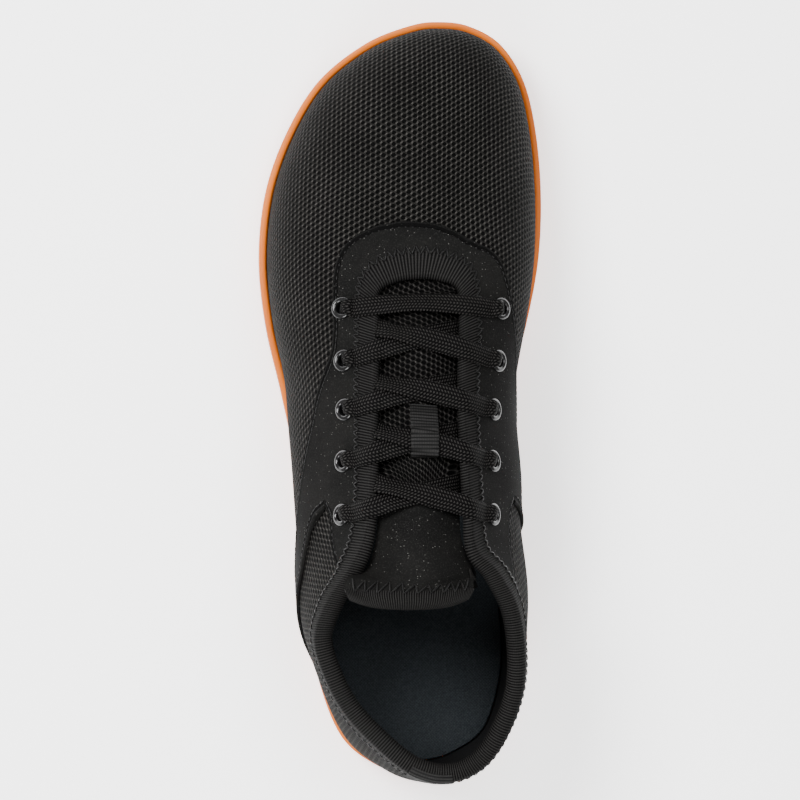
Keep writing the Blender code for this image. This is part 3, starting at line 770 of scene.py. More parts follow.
def bound_knit():
    """Fine knitted tape, its courses across the tape."""
    mix = Recipe("bound_knit", (0.012, 0.0118, 0.0115), 0.7, Specular_IOR_Level=0.03)
    flat = mix.pattern()
    u, v, _ = mix.split(flat)
    rib = mix.between(mix.wave("COSINE", u, RIB_PITCH / MM), -0.9, 0.9)
    loops = mix.between(mix.wave("SINE", v, 0.7), -1.0, 1.0)
    tone = mix.weigh((rib, 0.65), (loops, 0.12), (mix.noise(flat, 1.8, 3.0), 0.35))
    # Painted shade in the troughs between the tape's ribs
    mix.colour(mix.blend(mix.between(tone, 0.2, 1.0), SHADOW, (0.0135, 0.0130, 0.0125)))
    mix.bump(tone, 0.12)
    return mix.material


def flat_braid():
    """A flat braid: yarns cross in chevrons from its middle line."""
    mix = Recipe("flat_braid", (0.02, 0.019, 0.018), 0.6, Specular_IOR_Level=0.03)
    flat = mix.pattern()
    u, v, _ = mix.split(flat)
    side = mix.math("ABSOLUTE", v)
    yarn = mix.wave("SINE", mix.rise(u, side, 0.8), BRAID_YARN)
    rows = mix.wave("COSINE", side, BRAID_YARN)
    weave = mix.product(mix.between(yarn, -0.8, 0.6), mix.between(rows, -1.0, 0.4))
    tone = mix.weigh((weave, 0.75), (mix.noise(flat, 2.4, 3.0), 0.3))
    # Painted shade in the gaps between the braid's yarns
    mix.colour(mix.blend(mix.between(tone, 0.2, 0.95), (0.0004, 0.0004, 0.0004),
                         (0.0185, 0.0175, 0.0165)))
    mix.bump(tone, 0.35)
    return mix.material


def ribbed_webbing():
    """Woven band with deep ribs across it."""
    mix = Recipe("ribbed_webbing", (0.015, 0.015, 0.015), 0.55, Specular_IOR_Level=0.08)
    flat = mix.pattern()
    u, v, _ = mix.split(flat)
    ends = mix.between(mix.wave("SINE", v, 0.6), -1.0, 1.0)
    rib = mix.between(mix.wave("COSINE", u, WEBBING_RIB / MM), -0.8, 0.6)
    yarn = mix.weigh((ends, 0.3), (mix.noise(flat, 2.5, 3.0), 0.5))
    tone = mix.product(rib, mix.math("ADD", 0.2, yarn))
    # Painted shade in the troughs between the webbing's ribs
    mix.colour(mix.blend(tone, (0.0006, 0.0006, 0.0006), (0.0165, 0.0160, 0.0155)))
    mix.bump(tone, 0.10)
    return mix.material


TAPE = bound_knit()
BRAID = flat_braid()
WEBBING_CLOTH = ribbed_webbing()

# %% [markdown]
# The thread is waxed, so it shines a little more than the cloth round it. The lining is a
# brushed cloth that only shows in shade. The footbed is a blue-grey plain weave, printed
# by a warp wave and a weft wave whose product leaves a small dot at each crossing.

# %% Thread, lining and footbed
WEAVE_PITCH = 1.1


def sewing_thread():
    mix = Recipe("sewing_thread", (0.004, 0.004, 0.004), 0.45, Specular_IOR_Level=0.12)
    twist = mix.noise(mix.place(), 4.0, 2.0)
    mix.colour(mix.blend(mix.between(twist, 0.35, 0.7), SHADOW, (0.010, 0.0097, 0.0093)))
    mix.bump(twist, 0.08)
    return mix.material


def lining_cloth():
    mix = Recipe("lining_cloth", (0.010, 0.010, 0.011), 0.9, Specular_IOR_Level=0.08)
    flat = mix.pattern()
    cells = mix.node("ShaderNodeTexVoronoi", {"Vector": flat, "Scale": 1.4, "Randomness": 0.35})
    tone = mix.weigh((cells.outputs["Distance"], 0.7), (mix.noise(flat, 1.5, 3.0), 0.4))
    mix.colour(mix.blend(tone, (0.008, 0.008, 0.0085), (0.002, 0.002, 0.002)))
    mix.bump(mix.math("SUBTRACT", 1.0, tone), 0.12)
    return mix.material


def footbed_cloth():
    """Blue-grey plain weave with a small dot at each crossing."""
    mix = Recipe("footbed_cloth", (0.020, 0.028, 0.036), 0.8, Specular_IOR_Level=0.10)
    flat = mix.place()
    u, v, _ = mix.split(flat)
    crossing = mix.product(mix.wave("SINE", u, WEAVE_PITCH), mix.wave("SINE", v, WEAVE_PITCH))
    dots = mix.between(crossing, -0.2, 0.8)
    fuzz = mix.noise(flat, 1.6, 3.0)
    cloud = mix.noise(flat, 0.04, 2.0)
    colour = mix.blend(mix.between(fuzz, 0.3, 0.7), (0.010, 0.0125, 0.014),
                       (0.024, 0.0275, 0.0295))
    colour = mix.blend(mix.product(dots, 0.6), colour, (0.006, 0.008, 0.011))
    mix.colour(mix.blend(mix.product(cloud, 0.3), colour, (0.010, 0.014, 0.018)))
    mix.bump(mix.rise(fuzz, dots, -0.5), 0.10)
    return mix.material


THREAD = sewing_thread()
LINING = lining_cloth()
FOOTBED = footbed_cloth()

# %% [markdown]
# The eyelets are stamped metal under black enamel, so they are the one glossy finish here.
# The sole is gum rubber in one moulding. Its recesses are painted redder and darker as shade, which
# the tone attribute gives, and its underside is paler than its rim.

# %% Enamel and rubber
def black_enamel():
    mix = Recipe("black_enamel", (0.004, 0.004, 0.004), 0.16, Specular_IOR_Level=0.35)
    haze = mix.noise(mix.place(), 1.2, 3.0)
    mix.roughness(mix.rise(0.10, haze, 0.10))
    mix.bump(haze, 0.02)
    return mix.material


def gum_rubber():
    """Orange gum rubber, with painted shade that makes its recesses redder and darker, by the tone
    attribute.
    """
    mix = Recipe("gum_rubber", (0.72, 0.20, 0.045), 0.5, Specular_IOR_Level=0.14)
    at = mix.place()
    cloud = mix.noise(at, 0.02, 3.0)
    fine = mix.noise(at, 0.9, 4.0)
    under = mix.math("SUBTRACT", 1.0, mix.between(mix.split(at)[2], 1.0, 4.5))
    top = mix.blend(mix.between(cloud, 0.3, 0.7), (0.50, 0.118, 0.009), (0.44, 0.092, 0.006))
    top = mix.blend(under, top, (0.76, 0.205, 0.042))
    # Painted shade: recesses, wave troughs and lug roots take these redder, darker colours
    recess = mix.blend(under, (0.30, 0.014, 0.001), (0.50, 0.042, 0.003))
    body = mix.blend(mix.attribute("tone"), top, recess)
    dust = mix.product(mix.between(fine, 0.62, 0.80), 0.12)
    mix.colour(mix.blend(dust, body, (0.80, 0.30, 0.08)))
    mix.roughness(mix.rise(0.38, fine, 0.20))
    mix.bump(fine, 0.05)
    return mix.material


ENAMEL = black_enamel()
RUBBER = gum_rubber()

# %% [markdown]
# ## The knitted upper and its lining
# On the real shoe the knit is pulled over the last and its lining lies inside.
# Both are sheets on the same ribs, one on the outer side of the wall and one on the inner.
# The flat pattern starts at the opening and unrolls outwards, so the knit's columns run
# along the foot and fan at the toe as a lasted cloth does. That rule would squeeze the
# cloth behind the ankle, so the quarters are a second cut, measured along the heel and up
# from the sole. The two cuts meet below the overlay's legs, where no seam shows.

# %% Flat patterns of the knit
UPPER_COLUMNS = 301
UPPER_HEIGHTS = np.concatenate([[-0.58, -0.30], np.linspace(-0.05, 1.0, 44)])
CLOTH = 0.8 * MM
# Where the two cuts meet, around: one place on the inner side, heights and places on the outer
MEDIAL_SEAM = 0.1984
LATERAL_SEAM = ((0.0, 0.38, 0.58, 1.0), (0.894, 0.858, 0.8065, 0.8065))


def flat_pattern(around, heights):
    """The unrolled place of each point of the upper: from the opening outwards."""
    points = ribs_of_last(around, heights)
    steps = np.linalg.norm(np.diff(points, axis=0), axis=-1)
    down = np.concatenate([np.cumsum(steps[::-1], axis=0)[::-1], np.zeros((1, steps.shape[1]))])
    out = plan_point(around[0])[1]
    top, foot = points[-1, :, :2], points[0, :, :2]
    away = unit(foot - top + out * 8 * MM)
    return top + away * down[..., None]


def quarter_pattern(around, heights):
    """The unrolled place on the two quarters: along the heel, and up from the sole."""
    places = np.linspace(-0.3, 0.3, 241)
    heel_run = run_along(ribs_of_last(places, np.full(241, 0.4)))
    steps = np.linalg.norm(np.diff(ribs_of_last(around, heights), axis=0), axis=-1)
    up = np.concatenate([np.zeros((1, steps.shape[1])), np.cumsum(steps, axis=0)])
    from_heel = np.where(around > 0.5, around - 1, around)
    return np.stack([np.interp(from_heel, places, heel_run), up], axis=-1)


# %% Knit and lining
def make_upper():
    around, heights = np.meshgrid(np.linspace(0, 1, UPPER_COLUMNS), UPPER_HEIGHTS)
    flat = flat_pattern(around, heights)
    behind = (around < MEDIAL_SEAM) | (around > np.interp(heights, *LATERAL_SEAM))
    knit = mould("upper_knit", skin(around, heights)[0], flat,
                 quarter_pattern(around, heights), behind)
    thicken(knit, CLOTH)
    wall = wall_at(around, heights)
    inside = mould("upper_lining", skin(around, heights, CLOTH - wall)[0], flat)
    thicken(inside, CLOTH)
    fit(knit, KNIT, "knit", "upper")
    fit(inside, LINING, "knit")
    return knit


knit = make_upper()

# %% [markdown]
# ## The saddle overlay
# One piece of microfibre runs round the front of the throat and down both sides to the sole.
# It is cut from flat sheet, so its outline is a short table: how far down each rib it reaches.
# Behind the last eyelet it forks into a leg and a tail. The tail follows the collar.

# %% Outline tables of the overlay
# Around, height: its front edge, the line that parts leg from tail, and the tail's lower edge
FRONT_EDGE = (
    (0.158, 0.0), (0.195, 0.0), (0.205, 0.06), (0.225, 0.19), (0.248, 0.33), (0.266, 0.44),
    (0.284, 0.523), (0.298, 0.58), (0.313, 0.64), (0.341, 0.707), (0.366, 0.787),
    (0.383, 0.833), (0.408, 0.863), (0.454, 0.878), (0.500, 0.872), (0.550, 0.852),
    (0.581, 0.831), (0.603, 0.810), (0.622, 0.791), (0.640, 0.778), (0.660, 0.776),
    (0.688, 0.785), (0.703, 0.787), (0.713, 0.778), (0.721, 0.752), (0.732, 0.697),
    (0.746, 0.637), (0.765, 0.580), (0.777, 0.538), (0.788, 0.499), (0.805, 0.450),
    (0.825, 0.395), (0.845, 0.320), (0.862, 0.210), (0.872, 0.080), (0.876, 0.0),
    (0.912, 0.0),
)
LEG_EDGE = (
    (0.158, 0.0), (0.165, 0.13), (0.176, 0.29), (0.186, 0.41), (0.195, 0.53), (0.1984, 0.59),
    (0.215, 0.62), (0.250, 0.68), (0.300, 0.80), (0.366, 0.88), (0.450, 0.93), (0.550, 0.92),
    (0.620, 0.88), (0.700, 0.87), (0.740, 0.82), (0.780, 0.76), (0.8065, 0.715),
    (0.812, 0.645), (0.8176, 0.615), (0.8224, 0.597), (0.840, 0.545), (0.853, 0.525),
    (0.870, 0.465), (0.890, 0.350), (0.905, 0.170), (0.912, 0.0),
)
TAIL_EDGE = (
    (0.155, 0.88), (0.1624, 0.807), (0.1704, 0.75), (0.181, 0.68), (0.188, 0.653),
    (0.195, 0.640), (0.1984, 0.59), (0.215, 0.62), (0.250, 0.68), (0.300, 0.80),
    (0.366, 0.88), (0.450, 0.93), (0.550, 0.92), (0.620, 0.88), (0.700, 0.87),
    (0.740, 0.82), (0.780, 0.76), (0.8065, 0.715), (0.811, 0.752), (0.818, 0.767),
    (0.826, 0.783), (0.834, 0.823), (0.8408, 0.887),
)
FORKS = (0.1984, 0.8065)
LEG_SPAN = (0.158, 0.912)
TAIL_SPAN = (0.155, 0.8408)
LEG_HEEL = 0.876
OVERLAY_LIFT = 0.9 * MM
OVERLAY_LOW = 0.15 * MM
OVERLAY_STEP = 0.0017
SHOULDER = 0.7 * MM


def by_line(table, at):
    """Straight lines between the rows of a table, for a cut edge."""
    table = np.array(table)
    return np.interp(at, table[:, 0], table[:, 1])


def cut_edge():
    """The overlay's cut edge as places around and up: its front, then its four rear parts."""
    places = np.arange(*LEG_SPAN, 0.0008)
    front = np.stack([places, by_line(FRONT_EDGE, places)], axis=-1)
    rear = []
    for table, low, high in ((LEG_EDGE, LEG_SPAN[0], FORKS[0]), (TAIL_EDGE, TAIL_SPAN[0], FORKS[0]),
                             (TAIL_EDGE, FORKS[1], TAIL_SPAN[1]), (LEG_EDGE, FORKS[1], LEG_SPAN[1])):
        places = np.linspace(low, high, 120)
        rear.append(np.stack([places, by_line(table, places)], axis=-1))
    return front, rear


# %% [markdown]
# Leg and tail are two moulded sheets welded along their shared line. Each vertex learns its
# distance to the cut edge: the sheet rounds down to the knit there, and the stitch furrow
# lies at a constant distance inside it.

# %% Make the overlay
def points_tree(points):
    """A tree of points, to find the distance to the nearest one."""
    tree = KDTree(len(points))
    for i, point in enumerate(points):
        tree.insert(point, i)
    tree.balance()
    return tree


def between_edges(places, low, high):
    """A grid between two heights on each rib, with close rows beside both edges."""
    length = length_at(places)
    span = np.maximum(high - low, 0.0)
    near = np.array([0.0, 0.15, 0.4, 0.8, 1.4]) * MM
    room = np.minimum(near[:, None] / length, span * np.linspace(0, 0.4, len(near))[:, None])
    start, end = low + room, high - room[::-1]
    middle = start[-1] + (end[0] - start[-1]) * np.linspace(0, 1, 12)[1:-1, None]
    heights = np.concatenate([start, middle, end])
    return np.broadcast_to(places, heights.shape), heights


def overlay_sheet(name, tree, places, low, high):
    """One sheet of the overlay, rounded down to the knit beside the cut edge."""
    around, heights = between_edges(places, low, high)
    points = skin(around, heights)[0]
    distance = np.array([tree.find(p)[2] for p in points.reshape(-1, 3)])
    distance = np.where(heights < 0.03, 5 * MM, distance.reshape(around.shape))
    shoulder = np.sqrt(1 - (1 - np.clip(distance / SHOULDER, 0, 1))**2)
    out = OVERLAY_LOW + (OVERLAY_LIFT - OVERLAY_LOW) * shoulder
    return mould(name, skin(around, heights, out)[0], flat_pattern(around, heights))


def make_overlay():
    front, rear = cut_edge()
    edges = np.concatenate([front, *rear])
    tree = points_tree(skin(edges[:, 0], edges[:, 1])[0])
    places = np.arange(LEG_SPAN[0], LEG_SPAN[1] + OVERLAY_STEP, OVERLAY_STEP)
    places = np.sort(np.append(places, FORKS))
    shared = [p for p in places if FORKS[0] <= p <= FORKS[1]]
    low, high = by_line(FRONT_EDGE, places), by_line(LEG_EDGE, places)
    low = np.where(places > LEG_HEEL, 0, low) - 0.04 * (low < 0.01)
    leg = overlay_sheet("leg", tree, places, low, np.maximum(high, low))
    places = np.arange(*TAIL_SPAN, OVERLAY_STEP)
    tail_only = [p for p in places if p < FORKS[0] or p > FORKS[1]]
    places = np.sort(np.concatenate([shared, tail_only]))
    high = 1 - 3.0 * MM / length_at(places)
    tail = overlay_sheet("tail", tree, places, by_line(TAIL_EDGE, places), high)
    overlay = join([leg, tail], "saddle_overlay")
    edit(overlay, weld(6e-6))
    mark(overlay, "edge", [tree.find(p)[2] / MM for p in vertices_of(overlay)])
    thicken(overlay, 0.7 * MM)
    return fit(overlay, MICROFIBRE, "microfibre")


overlay = make_overlay()

# %% [markdown]
# Along the rear edge of each leg runs a thin cord under the folded cloth. It shows as a dark,
# glossy bead between the overlay and the knit behind it.

# %% Piping
PIPING = 0.75 * MM
PIPING_LIFT = 0.55 * MM


def make_piping():
    rear = cut_edge()[1]
    for name, edge in (("piping_lateral", rear[3]), ("piping_medial", rear[0])):
        edge = edge[edge[:, 1] > 0.02]
        line, normal = skin(edge[:, 0], edge[:, 1], PIPING_LIFT)
        ahead = unit(np.gradient(line, axis=0))
        side = unit(np.cross(normal, ahead))
        turn = np.linspace(0, 2 * np.pi, 10, endpoint=False)[None, :, None]
        rings = line[:, None] + PIPING * (np.cos(turn) * side[:, None]
                                          + np.sin(turn) * normal[:, None])
        fit(tube(name, rings), MICROFIBRE, "microfibre", angle=80)


make_piping()

# %% [markdown]
# ## The ribbed binding
# A knitted tape is folded over the whole edge of collar and throat. Its ribs stand across
# the tape about a millimetre apart, so each rib is real relief: the tape's lift-off rises
# and falls along the edge.

# %% Binding
TAPE_OUT = 6.3 * MM
TAPE_IN = 7.0 * MM
TAPE_LIFT = 1.0 * MM
RIB_RELIEF = 0.15 * MM


def opening_run():
    """Places round the opening, and how far each lies along its edge."""
    around = np.linspace(0, 1, 4001)
    return around, run_along(ribs_of_last(around, 1.0))


def over_edge(places, turns, lifts):
    """Rows that roll over the opening's edge, from outside at turn 0 to inside at pi."""
    tip, normal = skin(places, 1.0)
    up = unit(ribs_of_last(places, 1.0) - ribs_of_last(places, 0.97))
    half = wall_at(places, 1.0) / 2
    centre = tip - normal * half[:, None]
    return [centre + (normal * math.cos(turn) + up * math.sin(turn)) * (half + lift)[:, None]
            for turn, lift in zip(turns, lifts)]


def binding_rows(places, relief):
    """Rows of the tape from its outer to its inner border, and their places on the flat."""
    length = length_at(places)
    rows, across = [], []
    for reach in np.array([1.0, 0.97, 0.9, 0.75, 0.55, 0.35, 0.15, 0.0]) * TAPE_OUT:
        ease = smooth_step((TAPE_OUT - reach) / (0.9 * MM))
        out = 0.35 * MM + (TAPE_LIFT - 0.35 * MM + relief) * ease
        rows.append(skin(places, 1 - reach / length, out)[0])
        across.append(reach + 3 * MM)
    turns = np.linspace(0, np.pi, 11)[1:-1]
    rows += over_edge(places, turns, [TAPE_LIFT + relief] * len(turns))
    across += list(3 * MM * np.cos(turns))
    for reach in np.array([0.0, 0.2, 0.45, 0.7, 0.92, 1.0]) * TAPE_IN:
        ease = smooth_step((TAPE_IN - reach) / (1.2 * MM))
        height = 1 - reach / length
        inwards = wall_at(places, height) + 0.1 * MM + (TAPE_LIFT - 0.1 * MM + relief) * ease
        rows.append(skin(places, height, -inwards)[0])
        across.append(-reach - 3 * MM)
    return np.array(rows), np.array(across)


def make_binding():
    around, run = opening_run()
    ribs = round(run[-1] / RIB_PITCH)
    along = np.linspace(0, run[-1], ribs * 4 + 1)
    places = np.interp(along, run, around)
    relief = RIB_RELIEF * (0.5 + 0.5 * np.cos(2 * np.pi * along / run[-1] * ribs))
    rows, across = binding_rows(places, relief)
    print("binding length", round(run[-1] / MM), "mm, ribs", ribs)
    pattern = along / run[-1] * ribs * RIB_PITCH
    tape = mould("collar_binding", rows, paired(pattern[None, :], across[:, None]))
    edit(tape, lambda: bpy.ops.mesh.flip_normals())
    edit(tape, face_out)
    thicken(tape, 0.5 * MM)
    return fit(tape, TAPE, "knit", angle=60), places, along


binding, binding_places, binding_run = make_binding()

# %% [markdown]
# ## The rubber cup
# The sole is one moulding of gum rubber: a cup with a rolled rim that holds the upper.
# Its wall is one section carried round the outline. Underneath, a smooth band frames a
# recess, and the lugs, waves and arch panel stand in that recess.

# %% Sections and edges of the sole
BAND = 5.0 * MM
RECESS = 1.3 * MM
# What stands in the recess has its root this high, inside the rubber
ROOT_LEVEL = RECESS + 0.2 * MM
# Row number, then inset as a share of the rim and height as a share of the cup
CUP_SECTION = (
    (0.0, 1.50, 0.00), (1.0, 0.55, 0.04), (2.0, 0.12, 0.20), (3.0, 0.00, 0.50),
    (4.0, 0.05, 0.92), (5.0, 0.30, 1.00), (6.0, 0.75, 1.00), (7.0, 1.00, 0.94),
)
# Along the length, where the bottom is cut so that it can bend up at toe and heel
BENDS = [TOE_BREAK + (0.5 - TOE_BREAK) * k / 10 for k in range(10)]
BENDS += [HEEL_BREAK - (0.5 + HEEL_BREAK) * k / 5 for k in range(5)]
# Edges of the waved toe and heel: shares of the ball width across and of the length along
TOE_EDGE = ((-0.52, 0.350), (-0.40, 0.353), (-0.28, 0.355), (-0.18, 0.362), (-0.06, 0.385),
            (0.04, 0.408), (0.16, 0.429), (0.30, 0.438), (0.42, 0.430), (0.52, 0.420))
HEEL_EDGE = ((-0.30, -0.500), (-0.20, -0.478), (-0.11, -0.436), (-0.02, -0.406),
             (0.10, -0.393), (0.23, -0.381), (0.38, -0.364), (0.50, -0.352))
WAVE_PITCH = 5.6 * MM
WAVE_DEPTH = 0.75 * MM
FLUTE_PITCH = 4.6 * MM
FLUTE_DEPTH = 0.55 * MM
# How much painted shade the deepest wave trough gets
WAVE_SHADE = 0.42


def toe_wave(run):
    """Depth along the toe: a crest, a short step down, then a long rise to the next."""
    phase = np.mod(run / WAVE_PITCH, 1.0)
    return WAVE_DEPTH * smooth_step(phase / 0.22) * (1 - smooth_step((phase - 0.22) / 0.70))


def heel_wave(run):
    """Depth along the heel: flat ribs parted by narrow grooves."""
    phase = np.mod(run / FLUTE_PITCH, 1.0)
    return FLUTE_DEPTH * np.exp(-((phase - 0.5) / 0.09)**2)


def eased_wave(wave, run):
    """A wave that starts softly at the edge of the tread."""
    return wave(run) * smooth_step(run / (0.8 * MM))


def edge_at(table, x):
    """Where an edge across the sole lies along the foot, in metres."""
    table = np.array(table)
    return line_table(np.column_stack([table[:, 0] * BALL_WIDTH, table[:, 1] * LENGTH]),
                      np.clip(x, table[0, 0] * BALL_WIDTH, table[-1, 0] * BALL_WIDTH))[..., 0]


# %% [markdown]
# The cup is modelled flat, cut across at its bending places, and then bent up at toe and
# heel. Cuts first and bend last keeps every wall true, as a mould's parting line is.

# %% Cup
def cut_across():
    """Cuts a piece across the foot at each bending place."""
    for share in BENDS:
        bpy.ops.mesh.select_all(action="SELECT")
        bpy.ops.mesh.bisect(plane_co=(0, share * LENGTH, 0), plane_no=(0, 1, 0))


def raise_ends(piece):
    co = vertices_of(piece)
    co[:, 2] += lift(co[:, 1])
    move_vertices(piece, co)


def level_ring(inset, height=0.0, share=0.0):
    """A ring parallel to the outline, at a height plus a share of the cup's height."""
    around = np.linspace(0, 1, 481)
    flat = plan_point(around, np.full(around.shape, inset))[0]
    return np.column_stack([flat, height + share * cup_height(flat[:, 1])])


def make_cup():
    rings = [level_ring(BAND + 0.5 * MM, RECESS), level_ring(BAND + 0.15 * MM, RECESS * 0.9),
             level_ring(BAND, RECESS * 0.25), level_ring(BAND - 0.25 * MM)]
    for inset, share in line_table(CUP_SECTION, np.linspace(0, 7, 29)):
        rings.append(level_ring(inset * RIM_THICKNESS, share=max(0.0, share)))
    rings.append(level_ring(RIM_THICKNESS, SOLE_BASE))
    cup = tube("outsole_cup", np.array(rings))
    edit(cup, cut_across)
    co = vertices_of(cup)
    recess = (co[:, 2] > 0.5 * RECESS) & (co[:, 2] < 2 * MM)
    low = (1 - smooth_step(co[:, 2] / (0.35 * CUP_HEIGHT))) * ~recess
    deep = eased_wave(toe_wave, co[:, 1] - edge_at(TOE_EDGE, co[:, 0])) * low
    deep += eased_wave(heel_wave, edge_at(HEEL_EDGE, co[:, 0]) - co[:, 1]) * low
    co[:, 2] += deep
    move_vertices(cup, co)
    # Painted shade: the recess floor and the wave troughs are marked darker
    mark(cup, "tone", recess + deep / WAVE_DEPTH * WAVE_SHADE)
    raise_ends(cup)
    fit(cup, RUBBER, "gum_rubber", "outsole")


make_cup()

# %% [markdown]
# ## The tread
# The tread is rows of small lugs, each a hollow triangle, pointing to heel and toe in turn.
# One lug is modelled from a flat outline by rounding, extruding and insetting. It is then
# copied along the rows. Lugs that meet the waves or the arch panel are cut there.

# %% Tables of the tread
# Front groove of each row (mm along), distance between lug pairs, and where one pair starts
TREAD_ROWS = (
    (116.6, 11.7, 32.8), (106.3, 11.7, 34.6), (95.9, 11.7, 36.4), (85.2, 11.7, 38.2),
    (74.5, 11.7, 28.3), (64.0, 11.7, 30.1), (53.6, 11.5, 31.9), (43.4, 11.2, -22.6),
    (33.3, 10.7, -20.9), (24.8, 10.5, -19.7), (16.4, 10.5, -18.4), (8.0, 9.5, -15.5),
    (0.3, 9.5, -14.3), (-7.3, 9.5, -13.5), (-14.9, 9.5, -12.4), (-22.5, 9.5, -11.7),
    (-30.1, 10.3, -12.6), (-38.6, 10.4, -12.0), (-47.0, 10.9, -11.6), (-55.3, 11.5, -11.2),
    (-64.8, 11.8, 24.2), (-74.2, 11.8, 24.6), (-83.5, 11.8, 25.1), (-92.8, 11.8, 25.7),
    (-102.1, 11.8, 26.0), (-111.5, 11.8, 26.3), (-121.0, 11.8, 26.6),
)
FRONT_TILT = 3.7
BACK_TILT = 6.2
GROOVE = 1.1
# The model lug's width and length, and the distance between lug pairs that it is made for
LUG_WIDTH = 6.0
LUG_LENGTH = 9.3
LUG_PAIR = 11.7
ARCH_PANEL = ((-0.035, 0.076), (-0.057, 0.058), (-0.079, 0.023), (-0.079, -0.007),
              (-0.065, -0.046), (-0.043, -0.082), (0.004, -0.124), (0.062, -0.154),
              (0.107, -0.123), (0.083, -0.082), (0.083, -0.052), (0.096, -0.027),
              (0.120, -0.003), (0.048, 0.035))

# %% One lug
LUG_TOP = 0.04 * MM
LUG_ENDS = (0.50, 0.15)
# Each extrusion of the lug: rise (mm), then its scale across and along the lug
LUG_STEPS = ((-1.28, 1.0, 1.0), (-0.18, 0.93, 0.96), (0.0, 0.61, 0.68), (0.15, 0.88, 0.93),
             (0.35, 0.60, 0.72))


def make_lug():
    """A hollow triangle with its base up in the rubber and its face down."""
    clear_selection()
    bpy.ops.mesh.primitive_plane_add(size=1.0)
    lug = bpy.context.object
    co = vertices_of(lug)
    co[:, 0] = np.sign(co[:, 0]) * np.where(co[:, 1] > 0, *LUG_ENDS) * LUG_WIDTH * MM
    co[:, 1] *= LUG_LENGTH * MM
    co[:, 2] = ROOT_LEVEL
    move_vertices(lug, co)

    def shape():
        bpy.ops.mesh.flip_normals()
        bpy.ops.mesh.bevel(offset=0.78 * MM, segments=2, affect="VERTICES")
        bpy.ops.mesh.select_all(action="SELECT")
        for rise, wide, tall in LUG_STEPS:
            bpy.ops.mesh.extrude_region_move(
                TRANSFORM_OT_translate={"value": (0, 0, rise * MM)})
            bpy.ops.transform.resize(value=(wide, tall, 1), center_override=(0, 0.5 * MM, 0))

    edit(lug, shape)
    edit(lug, close_ends, face_out)
    return lug


# %% [markdown]
# A row is filled from side to side, and each lug then asks where it stands: inside the
# smooth band, behind the waves, clear of the arch panel. Lugs that only touch one of these
# go into a second mesh, which is cut to the field's outline.

# %% Where the lugs stand
def in_outline(x, y, inset):
    """How far places lie inside the sole's outline moved in by an inset."""
    around = np.linspace(0, 1, 361)[:-1]
    ring, out = plan_point(around, np.full(360, inset))
    away = np.stack([x, y], axis=-1)[:, None] - ring[None]
    near = np.linalg.norm(away, axis=-1).argmin(axis=1)
    return -np.einsum("ij,ij->i", away[np.arange(len(x)), near], out[near])


def panel_outline(grow=0.0):
    """The arch panel's outline, grown outwards by a distance."""
    ring = through_points([(x * BALL_WIDTH, y * LENGTH) for x, y in ARCH_PANEL], 6)
    ahead = np.roll(ring, -1, axis=0) - np.roll(ring, 1, axis=0)
    return ring + unit(np.stack([-ahead[:, 1], ahead[:, 0]], axis=-1)) * -grow


def inside_panel(x, y, grow=0.0):
    """Whether places lie inside the arch panel, by counting crossings of its outline."""
    a = panel_outline(grow)
    b = np.roll(a, -1, axis=0)
    over = (a[:, 1] > y[:, None]) != (b[:, 1] > y[:, None])
    cross = a[:, 0] + (y[:, None] - a[:, 1]) / (b[:, 1] - a[:, 1] + 1e-12) * (b[:, 0] - a[:, 0])
    return (over & (x[:, None] < cross)).sum(axis=1) % 2 == 1


def lug_places():
    """Place, size and direction of each lug."""
    places, axes = [], []
    for row, (front, pair, start) in enumerate(TREAD_ROWS[:-1]):
        deep = front - TREAD_ROWS[row + 1][0]
        tilt = math.radians(FRONT_TILT if front > 10 else BACK_TILT)
        wide, tall = pair / LUG_PAIR, (deep - GROOVE) / LUG_LENGTH
        for half in range(-14, 15):
            x = start % pair + (half - 1) * pair / 2
            y = front - deep / 2 + x * math.tan(tilt)
            flip = 1 if half % 2 else -1
            c, s = math.cos(tilt) * flip, math.sin(tilt) * flip
            places.append((x * MM, y * MM, 0))
            axes.append(((c * wide, s * wide, 0), (-s * tall, c * tall, 0), (0, 0, 1)))
    return np.array(places), np.array(axes)


# %% Copy and cut the lugs
LUG_REACH = 5.5 * MM


def block(name, outline, low, high):
    """An upright closed form over a flat outline."""
    outline = np.concatenate([outline, outline[:1]])
    rings = [np.column_stack([outline, np.full(len(outline), z)]) for z in (low, high)]
    return tube(name, np.array(rings))


def cut(piece, tool, operation):
    modify(piece, "BOOLEAN", object=tool, operation=operation, solver="EXACT")
    bpy.data.objects.remove(tool)


def tread_field():
    """The space between the waves of the toe and those of the heel."""
    xs = np.linspace(-0.49, 0.49, 60) * BALL_WIDTH
    front = np.column_stack([xs, edge_at(TOE_EDGE, xs) + 0.2 * MM])
    back = np.column_stack([xs, edge_at(HEEL_EDGE, xs) - 0.2 * MM])
    return block("field", np.concatenate([front, back[::-1]]), -2 * MM, 4 * MM)


